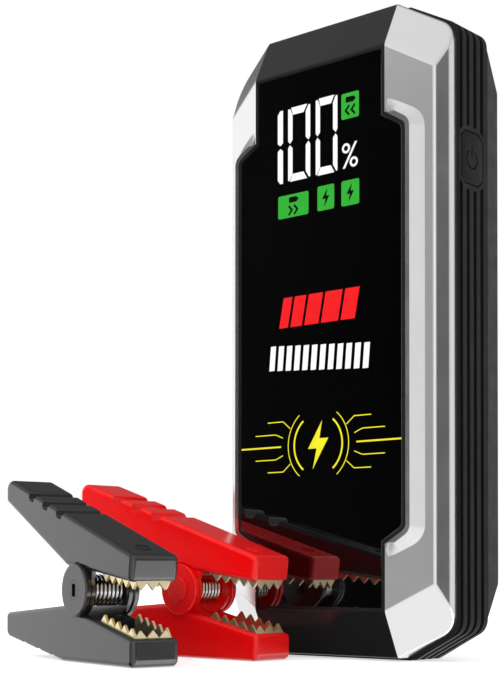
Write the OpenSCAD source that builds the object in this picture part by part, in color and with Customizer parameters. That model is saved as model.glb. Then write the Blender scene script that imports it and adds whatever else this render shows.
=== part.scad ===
// Jump starter pack with its two battery clamps.
// The pack stands on its flat lower end and its glass faces -Y. The clamps stand in front of it.

/* [Pack] */
// Height of the pack
pack_h = 232.2; // [207:0.1:262]
// Width of the pack
pack_w = 101.7; // [96:0.1:118]
// Depth of the pack from the glass to the back
pack_d = 45; // [43:0.5:54]
// How far the rubber band and the back stand proud of the front housing
lip = 1.1; // [0.6:0.1:1.4]
// Width of the flat upper and lower ends
flat_w = 60; // [52:1:62]
// Height lost between a flat end and the side
corner_drop = 10.5; // [8:0.5:14]
// Radius between the sloped corner and the side, at the rim of the front housing
corner_r = 9; // [6:0.5:11]
// The same radius at the rubber band and the back
band_corner_r = 6; // [5:0.5:9]

/* [Front faces] */
// Height of the black slope above and below the glass
bevel_h = 16.2; // [14:0.2:20]
// Depth of that slope at the end of the pack
bevel_d = 7.7; // [6:0.1:9]
// Depth at which the front facet of a trim ends
facet_d = 5.7; // [5:0.1:7]
// Distance from the end of the pack to the foot of a corner facet
facet_drop = 25.7; // [22:0.5:30]
// Width of the steep side face, seen from the front
side_run = 2.6; // [1.5:0.1:4]
// Depth at which the flat rim of a trim begins
rim_front = 11.3; // [10:0.1:12.5]
// Depth of the front housing, where the rubber band begins
trim_d = 15.2; // [14:0.1:17]
// Width of the step between the middle of the frame and the facet
step_w = 6; // [4:0.2:7]
// Depth of that step
step_d = 4.4; // [3:0.1:5]
// Depth at which the block that carries the trims starts
core_front = 8; // [7:0.1:9]
// How far that block stays inside the outer edge of the front facet
core_run = 2.9; // [2:0.1:5]
// How far it stays from the slope at each end
core_drop = 4; // [3:0.5:8]

/* [Glass] */
// Width of the frame round the middle of the glass
frame_mid_w = 75.6; // [68:0.2:80]
// Distance from the end of the pack to where the frame widens
notch_start = 40.2; // [32:0.2:50]
// Height over which the frame widens
notch_rise = 5.2; // [3:0.2:8]
// Thickness of the frame's middle wings
wing_t = 1.2; // [1:0.1:2]
// Thickness of the glass
glass_t = 0.8; // [0.6:0.1:0.9]
// Bare rim of the frame beside the narrow glass
rim_narrow = 1.4; // [0.8:0.1:2]
// Bare rim of the frame beside the wide glass
rim_wide = 0.6; // [0.4:0.1:1]
// Size of the display behind the glass
display = [44, 50, 3]; // [1:1:60]
// Distance of the middle of the display from the top of the pack
display_drop = 51.1; // [46:0.1:76]

/* [Rubber band] */
// Depth of the band, front to back
band_d = 17.9; // [16:0.1:20]
// Thickness of the band
band_t = 3.2; // [2.8:0.1:4]
// Number of grooves round the band
groove_n = 4; // [2:1:4]
// Width of a groove
groove_w = 1.8; // [1.2:0.1:2.2]
// Spacing of the grooves
groove_pitch = 4.35; // [3.6:0.05:4.7]
// Depth of a groove
groove_t = 1.6; // [0.8:0.1:2]
// Smooth rubber in front of the first groove
groove_lead = 0.4; // [0.3:0.1:0.8]
// Smooth rubber kept round the button and the port cover
island = 2; // [1:0.1:2.4]

/* [Back] */
// Depth over which the back slopes inwards
back_d = 11.8; // [9:0.1:13]
// Width lost on each side over that depth
back_run = 3.3; // [2:0.1:5]
// Height lost at each end over that depth
back_drop = 14; // [8:0.5:18]
// Distance from the end of the pack to the foot of a corner facet of the back
back_facet_drop = 27; // [22:0.5:32]
// Thickness of the walls of the housing
wall = 2.2; // [1.8:0.1:2.8]
// Diameter of the heads of the case screws
screw_head_d = 5.4; // [4.5:0.1:6]
// Distance of the screws from the middle of the back
screw_x = 34; // [28:1:37]
// Distance of the screws from the ends of the pack
screw_z = 34; // [30:1:50]
// Thickness of the heads of the case screws
screw_head_t = 0.8; // [0.6:0.1:1.2]
// How far the heads lie in the back
screw_sink = 0.4; // [0.2:0.1:0.8]
// Radius of the screws' shanks
screw_r = 1.5; // [1:0.1:2]
// Depth of the screws' bores
screw_l = 10; // [6:0.5:14]

/* [Button] */
// Size of the power button, along the depth and the height
button = [13.4, 18.2]; // [10:0.2:20]
// Size of its cut corners
button_cut = [2.9, 2.2]; // [1:0.1:4]
// Distance of the middle of the button from the top of the pack
button_drop = 56.1; // [46:0.1:110]
// How far the button lies in front of the middle of the rubber band
button_lead = 0.9; // [0:0.1:1.2]
// Thickness of the button's cap
button_t = 2.2; // [1.8:0.1:2.4]
// How far the button moves in
button_travel = 0.8; // [0.4:0.1:0.9]
// Gap round the button
button_gap = 0.3; // [0.2:0.05:0.5]
// Radius of the button's stem
stem_r = 1.6; // [1.2:0.1:2.2]
// Side and thickness of the switch behind the button
switch = [6, 3.4]; // [2:0.1:8]

/* [Ports] */
// Size of the port cover, along the depth and the height
cover = [13.6, 74]; // [12:0.2:90]
// Height of the middle of the port cover
cover_z = 78; // [70:1:120]
// Thickness of the port cover
cover_t = 1.8; // [1.6:0.1:2]
// Gap round the port cover
cover_gap = 0.4; // [0.3:0.05:0.6]
// Radius of the port cover's hinge pin
cover_pin_r = 0.6; // [0.5:0.05:0.7]
// Radius of the cover's knuckle round the pin
knuckle_r = 1.5; // [1.3:0.1:1.7]
// Length of the pin that the rubber band holds at each end
pin_hold = 1.6; // [1:0.1:3]
// Distance of the ports' front from the side of the pack
bezel_front = 3.4; // [3:0.1:4]
// Distance of the ports' inner end from the side of the pack
bezel_l = 15; // [12:0.5:18]
// Thickness of a port's metal and of a contact's wall
metal_t = 0.5; // [0.3:0.1:0.6]
// Size of the 12 V output socket, along the depth and the height
socket = [11, 24]; // [10:0.5:26]
// Radius of the bores of the socket's contacts
contact_bore_r = 2.5; // [2:0.1:3]
// Distance between the socket's two contacts
contact_pitch = 11; // [9:0.5:12]
// Mouth of the USB A port, along the depth and the height
usb_a = [5.7, 13.1]; // [5:0.1:14]
// Mouth of the USB C port, along the depth and the height
usb_c = [3.3, 9]; // [3:0.1:10]

/* [Torch] */
// Size of the torch window, along the width and the depth
torch = [26, 9]; // [8:0.5:36]
// Thickness of the torch window
torch_t = 2.2; // [1.6:0.1:2.6]
// How far the window lies in the rubber
torch_sink = 0.4; // [0.1:0.1:0.6]
// Thickness of the board behind it
torch_board_t = 1.2; // [0.8:0.1:1.6]

/* [Inside] */
// Width, thickness and height of one battery cell
cell = [46, 7.6, 118]; // [6:0.2:130]
// Distance of the cells from the bottom of the pack
cell_z = 26; // [20:1:40]
// How far the cells lie to the right of the middle, clear of the ports
cell_x = 6; // [4:0.5:10]
// Number of battery cells
cell_n = 3; // [2:1:3]
// Size of the circuit board
board = [72, 1.6, 60]; // [1:0.1:80]

/* [Clamps] */
// Length of a clamp's handles behind the pivot
handle_l = 58.5; // [48:0.5:70]
// Length of a clamp's jaws in front of the pivot
jaw_l = 38.3; // [32:0.5:46]
// Width of a clamp
clamp_w = 18; // [16:0.5:24]
// Height of the pivot above the surface
pivot_z = 25; // [23:0.5:28]
// Thickness of a clamp's side walls
side_t = 1.9; // [1.6:0.1:2.4]
// Thickness of a clamp's floors and ends
floor_t = 2.4; // [2:0.1:3]
// Radius of the pivot ears on the lower lever
ear_r = 9.3; // [8.5:0.1:10]
// Height of the lower jaw at its tip
lower_tip_h = 9.2; // [8:0.2:11]
// Height of the upper jaw at its tip
upper_tip_h = 9; // [8:0.2:12]
// Gap between the jaws at their tips
mouth_h = 18.5; // [14:0.5:22]
// Slope of the upper lever's back, in degrees
back_slope = 17.1; // [14:0.1:20]
// Radius of the pivot pin
pin_r = 3.5; // [3:0.1:3.8]
// Radial running clearance of the upper lever on the pin
pin_gap = 0.05; // [0.02:0.01:0.1]
// Height of the end of the lower handle
tail_h = 8.8; // [8.8:0.1:11]
// Radius of the cable inlet at the end of the lower handle
cable_r = 2.8; // [2.4:0.1:2.9]
// Number of finger grooves in each handle
grip_n = 3; // [2:1:4]
// Spacing of the finger grooves
grip_pitch = 11.6; // [9:0.2:13]
// Depth of the finger grooves in the upper handle
grip_t = 2.9; // [1.5:0.1:3.2]
// Width of the finger grooves
grip_w = 5.4; // [3:0.2:7]
// Depth of the finger grooves in the lower handle
low_grip_t = 1; // [0.4:0.1:1.2]
// Distance of the first finger groove from the handle's end
grip_lead = 22.4; // [14:0.2:26]
// Length of the flat that the lower lever rests on, behind the pivot
rest_l = 12.5; // [8:0.5:18]
// Thickness of the ears outside the lever's sides
ear_t = 1.5; // [1:0.1:2]
// Thickness of the upper lever's cheeks inside the ears
cheek_t = 1.4; // [1.2:0.1:2.2]
// Gap between the ears and what turns beside them
ear_gap = 0.5; // [0.3:0.1:0.8]
// Radius of the levers' long edges
lever_edge_r = 1.2; // [0.6:0.1:1.6]
// Slope of the lower jaw's edge
lower_slope = 12.4; // [8:0.2:14]
// Slope of the upper jaw's edge
mouth_slope = 7.6; // [4:0.2:10]

/* [Teeth] */
// Thickness of the toothed plates
plate_t = 1; // [0.8:0.1:1.2]
// Height of a tooth
tooth_h = 2.6; // [1.6:0.1:3]
// Spacing of the teeth along the jaw
tooth_pitch = 4.6; // [3.6:0.1:5.5]
// Number of teeth along each side
tooth_n = 5; // [3:1:5]
// Number of teeth across the tip
tip_tooth_n = 3; // [2:1:4]

/* [Spring] */
// Middle radius of the spring's curls
coil_r = 5; // [4.8:0.1:5.4]
// Thickness of the spring's wire
wire_d = 1.1; // [0.9:0.1:1.2]
// Whole curls between the spring's two legs
coil_n = 7; // [3:1:7]
// Length of the spring's legs
leg_l = 22; // [12:1:26]

/* [Placing] */
// Place of the black clamp's pivot on the surface
black_place = [-50, -81]; // [-90:1:-20]
// Turn of the black clamp, in degrees
black_turn = -14; // [-24:1:0]
// Place of the red clamp's pivot on the surface
red_place = [-46, -36]; // [-60:1:-30]
// Turn of the red clamp, in degrees
red_turn = -2.4; // [-6:0.1:0]

/* [Hidden] */
$fn = 64;

arc_n = 5;
eps = 0.01;
// A length that reaches past every piece
far = 2 * pack_h;
front_y = -pack_d / 2;
side_x = pack_w / 2;
flat_x = flat_w / 2;
facet_x = side_x - lip - side_run;
core_x = facet_x - core_run;
core_z = lip + bevel_h + core_drop;
button_z = pack_h - button_drop;
band_back = trim_d + band_d;
back_start = pack_d - back_d;
corner_slope = atan(corner_drop / (side_x - lip - flat_x));

// ---------------------------------------------------------------- outlines

// Points of the arc of radius r that rounds corner b between a and c
function arc_at(a, b, c, r) =
    let (u = (a - b) / norm(a - b), v = (c - b) / norm(c - b),
         half = acos(u * v) / 2,
         mid = b + (u + v) / norm(u + v) * r / sin(half),
         p = b + u * r / tan(half) - mid,
         sweep = 180 - 2 * half,
         way = u[0] * v[1] - u[1] * v[0] > 0 ? -1 : 1)
    [for (i = [0 : arc_n])
        let (t = way * sweep * i / arc_n)
        mid + [p[0] * cos(t) - p[1] * sin(t), p[0] * sin(t) + p[1] * cos(t)]];

// A closed outline with each corner rounded by its own radius
function rounded(pts, radii) =
    let (n = len(pts))
    [for (i = [0 : n - 1])
        each (radii[i] > 0
            ? arc_at(pts[(i + n - 1) % n], pts[i], pts[(i + 1) % n], radii[i])
            : [pts[i]])];

// The pack's outline seen from the front, drawn in by d
function pack_outline(d, corner = band_corner_r) =
    let (fx = flat_x - (d - lip) * tan(corner_slope / 2),
         cz = lip + corner_drop + (d - lip) * tan((90 - corner_slope) / 2),
         x = side_x - d, r = corner - d)
    rounded(
        [[fx, d], [x, cz], [x, pack_h - cz], [fx, pack_h - d],
         [-fx, pack_h - d], [-x, pack_h - cz], [-x, cz], [-fx, d]],
        [0, r, r, 0, 0, r, r, 0]);

// A cross-shaped outline: narrow at the ends, wide in the middle
function cross_outline(narrow, wide, end, start, rise, r) =
    let (a = lip + end, b = lip + start, c = pack_h - b, d = pack_h - a)
    rounded(
        [[narrow, a], [narrow, b], [wide, b + rise], [wide, c - rise], [narrow, c], [narrow, d],
         [-narrow, d], [-narrow, c], [-wide, c - rise], [-wide, b + rise], [-narrow, b], [-narrow, a]],
        [0, 0, r, r, 0, 0, 0, 0, r, r, 0, 0]);

// An oblong with cut corners, about the origin
function cut_oblong(size, cut) =
    let (a = size[0] / 2, b = size[1] / 2)
    [[a, cut[1] - b], [a, b - cut[1]], [a - cut[0], b], [cut[0] - a, b],
     [-a, b - cut[1]], [-a, cut[1] - b], [cut[0] - a, -b], [a - cut[0], -b]];

// An oblong with round corners, about the origin
function round_oblong(size, r) =
    let (a = size[0] / 2, b = size[1] / 2)
    rounded([[a, -b], [a, b], [-a, b], [-a, -b]], [r, r, r, r]);

// ---------------------------------------------------------------- placing

// Stands a front outline up and gives it the depths from a to b
module at_depth(a, b) {
    translate([0, front_y + b, 0]) rotate([90, 0, 0]) linear_extrude(b - a) children();
}

// Lays a side outline (depth, height) across the pack from x = a to x = b
module at_side(a, b) {
    translate([a, front_y, 0]) rotate([90, 0, 90]) linear_extrude(b - a) children();
}

// All that lies past the plane through p whose normal is n
module past_plane(p, n) {
    translate(p)
        rotate([0, acos(n[2] / norm(n)), atan2(n[1], n[0])])
            translate([-far / 2, -far / 2, 0]) cube(far);
}

// ---------------------------------------------------------------- housing

// The front half of the pack's outside: slopes, facets and rims
module front_form() {
    difference() {
        at_depth(0, trim_d) polygon(pack_outline(lip, corner_r + lip));
        for (sx = [-1, 1]) {
            past_plane([sx * flat_x, front_y, 0],
                [sx * facet_d, flat_x - facet_x, 0]);
            past_plane([sx * facet_x, front_y + facet_d, 0],
                [sx * (rim_front - facet_d), -side_run, 0]);
        }
        for (sz = [0, 1]) mirror_end(sz) {
            past_plane([0, front_y + bevel_d, pack_h - lip], [0, -bevel_h, bevel_d]);
            for (sx = [-1, 1]) corner_facet(sx);
        }
    }
}

// The upper end as it is, or turned into the lower end
module mirror_end(lower) {
    translate([0, 0, lower * pack_h]) mirror([0, 0, lower]) children();
}

// What the facet over an upper corner takes away
module corner_facet(sx) {
    foot = [flat_x, 0, -lip - bevel_h];
    rise = [0, bevel_d, bevel_h];
    run = [facet_x - flat_x, facet_d, bevel_h - facet_drop];
    n = cross(rise, run);
    past_plane([sx * foot[0], front_y, pack_h + foot[2]], [-sx * n[0], -n[1], -n[2]]);
}

// The front form with the flat panel that stands out from the facets and carries the glass
module front_body() {
    front_form();
    intersection() {
        at_depth(0, step_d + 0.4) frame_outline();
        at_depth(-1, trim_d) translate([-far / 2, notch_start]) square([far, pack_h - 2 * notch_start]);
    }
}

// The middle strip of the housing with its wings behind the glass
module frame_zone() {
    at_depth(-1, trim_d + 1) translate([-flat_x, -1]) square([flat_w, pack_h + 2]);
    at_depth(-1, wing_t) frame_outline();
}

module frame_outline() {
    polygon(cross_outline(flat_x, frame_mid_w / 2, -1, notch_start, notch_rise, 3));
}

// The block behind a trim that carries it
module trim_core() {
    at_depth(core_front, trim_d)
        translate([-core_x, core_z]) square([2 * core_x, pack_h - 2 * core_z]);
}

module front_shell() {
    color("#1e1e1e") difference() {
        union() {
            intersection() {
                front_body();
                frame_zone();
            }
            trim_core();
        }
        // Seat of the glass
        at_depth(-1, glass_t) polygon(glass_outline());
        // Inside of the housing
        trim_core_space();
        display_seat(0.1);
    }
}

module trim_core_space() {
    inner_x = core_x - wall;
    inner_z = core_z + wall;
    at_depth(core_front + wall, trim_d + 1)
        translate([-inner_x, inner_z]) square([2 * inner_x, pack_h - 2 * inner_z]);
    at_depth(glass_t + 1.4 + display[2], trim_d + 1)
        translate([wall - flat_x, inner_z]) square([flat_w - 2 * wall, pack_h - 2 * inner_z]);
}

// A silver trim: the front form beyond the frame, with the step beside the glass
module trim(sx) {
    step_x = frame_mid_w / 2 + step_w;
    step_start = notch_start - step_w;
    color("#c9cbcb") difference() {
        front_body();
        frame_zone();
        trim_core();
        past_plane([0, 0, 0], [-sx, 0, 0]);
        difference() {
            at_depth(-1, step_d)
                polygon(cross_outline(flat_x, step_x, -1, step_start, notch_rise + 2.2, 8));
            at_depth(-2, step_d + 1) frame_outline();
        }
    }
}

module left_trim() { trim(-1); }
module right_trim() { trim(1); }

function glass_outline() =
    cross_outline(flat_x - rim_narrow, frame_mid_w / 2 - rim_wide, bevel_h + rim_narrow,
        notch_start + rim_wide, notch_rise, 2.4);

module display_glass() {
    color("#050505") at_depth(0.1, glass_t) polygon(glass_outline());
}

module display_seat(gap) {
    at_depth(glass_t - eps, glass_t + display[2])
        translate([0, pack_h - display_drop])
            square([display[0] + 2 * gap, display[1] + 2 * gap], center = true);
}

module display_module() {
    color("#2f5f3a") at_depth(glass_t, glass_t + display[2])
        translate([0, pack_h - display_drop])
            polygon(round_oblong([display[0], display[1]], 1));
}

// ---------------------------------------------------------------- rubber band

module ribbed_band() {
    color("#2e2e2e") difference() {
        at_depth(trim_d, band_back) difference() {
            polygon(pack_outline(0));
            polygon(pack_outline(band_t));
        }
        difference() {
            for (i = [0 : groove_n - 1])
                groove(trim_d + groove_lead + i * groove_pitch);
            band_islands();
        }
        at_side(side_x - band_t - 1, side_x + 1) button_outline(button_gap);
        at_side(-side_x - 1, band_t + 1 - side_x) cover_hole(0);
        hinge_rod(cover_pin_r + 0.02, cover_gap + pin_hold + 0.1);
        torch_hole(0.1);
    }
}

// A groove all round that starts at a depth
module groove(start) {
    at_depth(start, start + groove_w) difference() {
        translate([-side_x - 1, -1]) square([pack_w + 2, pack_h + 2]);
        polygon(pack_outline(groove_t));
    }
}

// Rubber left smooth round the button, the port cover and the torch, and as a foot
module band_islands() {
    at_side(0, side_x + 1) button_outline(island);
    at_side(-side_x - 1, 0) translate([cover_mid(), cover_z])
        square([band_d * 2, cover[1] + 2 * (cover_gap + island)], center = true);
    for (z = [0, pack_h]) translate([0, front_y + trim_d + band_d / 2, z])
        cube([torch[0] + 4 * island, band_d * 2, 4 * groove_t], center = true);
}

function button_depth() = trim_d + band_d / 2 - button_lead;

module button_outline(grow) {
    translate([button_depth(), button_z])
        polygon(cut_oblong(button + 2 * [grow, grow], button_cut + 0.6 * [grow, grow]));
}

// ---------------------------------------------------------------- back shell

module back_form() {
    difference() {
        at_depth(band_back, pack_d) polygon(pack_outline(0));
        for (sx = [-1, 1])
            past_plane([sx * side_x, front_y + back_start, 0], [sx * back_d, back_run, 0]);
        for (sz = [0, 1]) mirror_end(sz) {
            past_plane([0, front_y + back_start, pack_h], [0, back_drop, back_d]);
            for (sx = [-1, 1]) back_corner(sx);
        }
    }
}

// What the facet over an upper corner of the back takes away
module back_corner(sx) {
    foot = [flat_x, pack_d, -back_drop];
    rise = [0, -back_d, back_drop];
    run = [side_x - back_run - flat_x, 0, back_drop - back_facet_drop];
    n = cross(run, rise);
    past_plane([sx * foot[0], front_y + foot[1], pack_h + foot[2]], [-sx * n[0], -n[1], -n[2]]);
}

module back_shell() {
    color("#3c3c3c") difference() {
        union() {
            at_depth(trim_d, band_back) polygon(pack_outline(band_t));
            back_form();
        }
        at_depth(trim_d - 1, band_back) polygon(pack_outline(band_t + wall));
        at_depth(band_back - eps, pack_d - wall)
            polygon(pack_outline(band_t + wall + back_drop * 0.6));
        // Hole for the button's stem
        translate([side_x - band_t - wall - 1, front_y + button_depth(), button_z])
            rotate([0, 90, 0]) cylinder(h = wall + 2, r = stem_r + button_gap);
        at_side(-side_x - 1, band_t + wall + 1 - side_x) cover_hole(0);
        torch_board_space();
        screw_bores();
    }
}

// ---------------------------------------------------------------- case screws

module each_screw() {
    for (x = [-screw_x, screw_x], z = [screw_z, pack_h - screw_z])
        translate([x, front_y + pack_d, z]) rotate([90, 0, 0]) children();
}

module screw_bores() {
    each_screw() {
        translate([0, 0, -1]) cylinder(h = screw_sink + screw_head_t + 1, r = screw_head_d / 2 + 0.15);
        cylinder(h = screw_l, r = screw_r);
    }
}

module case_screws() {
    head_end = screw_sink + screw_head_t;
    color("#8c8f92") each_screw() difference() {
        union() {
            translate([0, 0, screw_sink]) cylinder(h = screw_head_t, r = screw_head_d / 2);
            translate([0, 0, head_end - eps]) cylinder(h = wall + 2, r = screw_r);
        }
        // Cross slot
        for (a = [0, 90]) rotate(a) translate([-1.5, -0.3, screw_sink - eps]) cube([3, 0.6, 0.5]);
    }
}

// ---------------------------------------------------------------- button

stem_end = side_x - band_t - wall - 1.2;

module power_button() {
    color("#303030") {
        at_side(side_x - button_t, side_x) button_outline(0);
        translate([stem_end, front_y + button_depth(), button_z])
            rotate([0, 90, 0]) cylinder(h = side_x - button_t - stem_end + eps, r = stem_r);
    }
}

module button_switch() {
    plunger_h = 1;
    plunger_end = stem_end - button_travel - 0.1;
    color("#101010") {
        translate([plunger_end - plunger_h - switch[1], front_y + button_depth() - switch[0] / 2,
                button_z - switch[0] / 2])
            cube([switch[1], switch[0], switch[0]]);
        translate([plunger_end - plunger_h - eps, front_y + button_depth(), button_z])
            rotate([0, 90, 0]) cylinder(h = plunger_h, r = stem_r + 0.1);
    }
}

// ---------------------------------------------------------------- ports

// Depth of the middle of the port cover
function cover_mid() = trim_d + band_d / 2;
// Depth of the port cover's hinge, along its back edge
function hinge_depth() = cover_mid() + cover[0] / 2 - knuckle_r;

// Opening behind the port cover
module cover_hole(grow) {
    translate([cover_mid(), cover_z])
        square([cover[0] + 2 * (cover_gap + grow), cover[1] + 2 * (cover_gap + grow)], center = true);
}

// A rod along the hinge line that runs past both ends of the port cover
module hinge_rod(r, past) {
    translate([knuckle_r - side_x, front_y + hinge_depth(), cover_z - cover[1] / 2 - past])
        cylinder(h = cover[1] + 2 * past, r = r);
}

module port_cover() {
    color("#2e2e2e") difference() {
        union() {
            at_side(-side_x, cover_t - side_x)
                translate([cover_mid() - cover[0] / 2, cover_z - cover[1] / 2])
                    square([cover[0] - knuckle_r, cover[1]]);
            hinge_rod(knuckle_r, 0);
        }
        hinge_rod(cover_pin_r + 0.05, 1);
        // Finger notch in the front edge
        translate([-side_x, front_y + cover_mid() - cover[0] / 2, cover_z])
            cylinder(h = 12, r = 0.8, center = true);
    }
}

module cover_pin() {
    color("#b8bbbe") hinge_rod(cover_pin_r, cover_gap + pin_hold);
}

// Heights of the three ports
function socket_z() = cover_z - cover[1] / 2 + socket[1] / 2 + 4;
function usb_a_z() = cover_z + 10;
function usb_c_z() = cover_z + cover[1] / 2 - usb_c[1] / 2 - 5;

// A place at a port's front, at height z, with x pointing into the pack
module at_port(z) {
    translate([bezel_front - side_x, front_y + cover_mid(), z]) children();
}

// A block of a port's size that starts at x = a and ends at x = b
module port_block(a, b, size) {
    translate([a, -size[0] / 2, -size[1] / 2]) cube([b - a, size[0], size[1]]);
}

port_l = bezel_l - bezel_front;

module port_bezel() {
    color("#262626") difference() {
        at_side(bezel_front - side_x, bezel_l - side_x) cover_hole(-0.05);
        at_port(socket_z()) port_block(-1, port_l - 1, socket);
        at_port(usb_a_z()) port_block(-1, port_l + 1, usb_a + 2 * [metal_t, metal_t]);
        at_port(usb_c_z()) port_block(-1, port_l + 1, usb_c + 2 * [metal_t, metal_t]);
    }
}

module output_socket() {
    color("#1f4fa8") difference() {
        at_port(socket_z()) port_block(0, port_l - 1 - eps, socket);
        each_contact() translate([0, 0, -1]) cylinder(h = bezel_l, r = contact_bore_r + metal_t);
    }
}

module each_contact() {
    for (s = [-1, 1])
        at_port(socket_z() + s * contact_pitch / 2) rotate([0, 90, 0]) children();
}

module socket_contacts() {
    color("#c8a24a") each_contact() difference() {
        translate([0, 0, 1]) cylinder(h = port_l - 2 - eps, r = contact_bore_r + metal_t);
        cylinder(h = port_l - 3, r = contact_bore_r);
    }
}

// A port: a thin metal shell with a tongue inside
module usb_port(size, z, tongue) {
    mouth_l = 8.5;
    at_port(z) {
        difference() {
            port_block(0, port_l, size + 2 * [metal_t, metal_t]);
            port_block(-1, mouth_l, size);
        }
        port_block(metal_t, mouth_l + eps, [tongue, size[1] - 2]);
    }
}

module usb_a_port() { color("#b9bcbf") usb_port(usb_a, usb_a_z(), 1.6); }
module usb_c_port() { color("#a9acaf") usb_port(usb_c, usb_c_z(), 0.8); }

// ---------------------------------------------------------------- torch

torch_depth = trim_d + band_d / 2;
torch_board_z = pack_h - band_t - torch_board_t;

// A block of the torch's outline, shrunk by inset, from height z0 to z1
module torch_block(z0, z1, inset) {
    translate([0, front_y + torch_depth, z0])
        linear_extrude(z1 - z0) polygon(round_oblong(torch - 2 * [inset, inset], 2 - inset));
}

module torch_hole(gap) {
    torch_block(pack_h - band_t - 1, pack_h + 1, -gap);
}

module torch_window() {
    color("#dfe6ea") torch_block(pack_h - torch_sink - torch_t, pack_h - torch_sink, 0);
}

module torch_board_space() {
    torch_block(torch_board_z, pack_h - band_t + 1, 0);
}

module torch_board() {
    color("#e8e8e0") {
        torch_block(torch_board_z, pack_h - band_t, 0.1);
        // Light emitters
        for (x = [-torch[0] / 4, torch[0] / 4])
            translate([x, front_y + torch_depth, pack_h - band_t - eps])
                cylinder(h = 0.5, r = 2.4);
    }
}

// ---------------------------------------------------------------- inside

module battery_cells() {
    color("#9aa0a6") for (i = [0 : cell_n - 1])
        at_depth(pack_d - wall - (i + 1) * (cell[1] + 0.2), pack_d - wall - i * (cell[1] + 0.2) - 0.2)
            translate([cell_x, cell_z + cell[2] / 2])
                polygon(round_oblong([cell[0], cell[2]], 2));
}

module main_board() {
    depth = core_front + wall;
    color("#1c6b3a") at_depth(depth, depth + board[1])
        translate([0, pack_h - core_z - wall - 1 - board[2] / 2])
            polygon(round_oblong([board[0], board[2]], 2));
}

// ---------------------------------------------------------------- clamps

half_w = clamp_w / 2;
inner_w = half_w - side_t;
ear_in = half_w - 0.7;
ear_out = half_w + ear_t;
cheek_out = ear_in - 0.3;
cheek_in = cheek_out - cheek_t;
cheek_r = ear_r - 0.5;
grip_x = grip_lead - handle_l;
// Where the thick end of the upper handle stops, past its last finger groove
grip_end = grip_x + (grip_n - 1) * grip_pitch + 4.4;

// Height of the lower jaw's edge at x
function lower_edge(x) = lower_tip_h + (jaw_l - x) * tan(lower_slope);
// Height of the upper jaw's edge at x
function upper_edge(x) = lower_tip_h + mouth_h + (jaw_l - x) * tan(mouth_slope);
// Height of the upper lever's back at x
function upper_back(x) = lower_tip_h + mouth_h + upper_tip_h + (jaw_l - x) * tan(back_slope);
// Rise of the lower handle's underside at x, behind its resting stretch
function lower_rise(x) = max(0, (-rest_l - x) * tan(9));

// Side outline of the lower lever, drawn in by d at its underside and tip
function lower_side(d) =
    rounded(
        [[-rest_l, d], [jaw_l - d, d], [jaw_l - d, lower_edge(jaw_l)], [9, lower_edge(9)],
         [-9, lower_edge(9) + 4], [d - handle_l, lower_rise(-handle_l) + tail_h],
         [d - handle_l, lower_rise(-handle_l) + d * 1.01]],
        [0, d > 0 ? 0 : 2, 0, 0, 0, d > 0 ? 0 : 1, d > 0 ? 0 : 3]);

// Side outline of the upper lever, drawn in by d at its back and ends
function upper_side(d) =
    rounded(
        [[jaw_l - d, upper_edge(jaw_l)], [jaw_l - d, upper_back(jaw_l) - d * 1.05],
         [d - handle_l, upper_back(-handle_l) - d * 1.05 + 0.4],
         [d - handle_l, upper_back(-handle_l) - 8.6 + d],
         [-9.5, pivot_z + ear_r - 0.5 + d], [12, upper_edge(12)]],
        [0, d > 0 ? 0 : 1.6, d > 0 ? 0 : 3.4, d > 0 ? 0 : 1.5, 0, 0]);

// Lays a side outline (x, z) across a clamp from y = a to y = b
module across(a, b) {
    translate([0, b, 0]) rotate([90, 0, 0]) linear_extrude(b - a) children();
}

// The same on both sides of a clamp, from a to b out of the middle
module both_sides(a, b) {
    across(a, b) children();
    across(-b, -a) children();
}

module pivot_circle(r) {
    translate([0, pivot_z]) circle(r);
}

// A bar along x with round long edges, that trims a lever's outer edges
module soft_bar(x0, x1, z0, z1, r) {
    translate([x0, 0, 0]) rotate([90, 0, 90]) linear_extrude(x1 - x0)
        polygon(rounded([[half_w, z0], [half_w, z1], [-half_w, z1], [-half_w, z0]], [r, r, r, r]));
}

// Finger grooves at even steps, seen from the side
module grips(depth, w) {
    for (i = [0 : grip_n - 1]) translate([i * grip_pitch, 0])
        polygon([[-w / 2, 1], [-w / 2 + 0.2, 0.2 - depth / 2], [-w / 4, -depth],
                 [w / 4, -depth], [w / 2 - 0.2, 0.2 - depth / 2], [w / 2, 1]]);
}

module lower_lever(tone) {
    color(tone) difference() {
        union() {
            difference() {
                intersection() {
                    across(-half_w, half_w) polygon(lower_side(0));
                    soft_bar(-handle_l - 1, jaw_l + 1, 0, far, lever_edge_r);
                }
                across(-inner_w, inner_w) lower_inside();
                across(-ear_in, ear_in) pivot_circle(cheek_r + ear_gap);
            }
            both_sides(ear_in, ear_out) pivot_circle(ear_r);
        }
        across(-far, far) pivot_circle(pin_r);
        lower_grips();
        cable_inlet();
    }
}

module lower_inside() {
    polygon([[-rest_l, floor_t], [jaw_l - floor_t + 0.7, floor_t], [jaw_l - floor_t + 0.7, 60],
        [floor_t - handle_l, 60], [floor_t - handle_l, lower_rise(floor_t - handle_l) + floor_t]]);
}

module lower_grips() {
    across(-half_w - 1, half_w + 1)
        translate([-rest_l - 8, lower_rise(-rest_l - 8)]) rotate(-9)
            rotate(180) grips(low_grip_t, grip_w);
}

module cable_inlet() {
    translate([-handle_l - 1, 0, lower_rise(-handle_l) + floor_t + cable_r + 0.2]) rotate([0, 90, 0])
        cylinder(h = floor_t + 3, r = cable_r);
}

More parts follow.
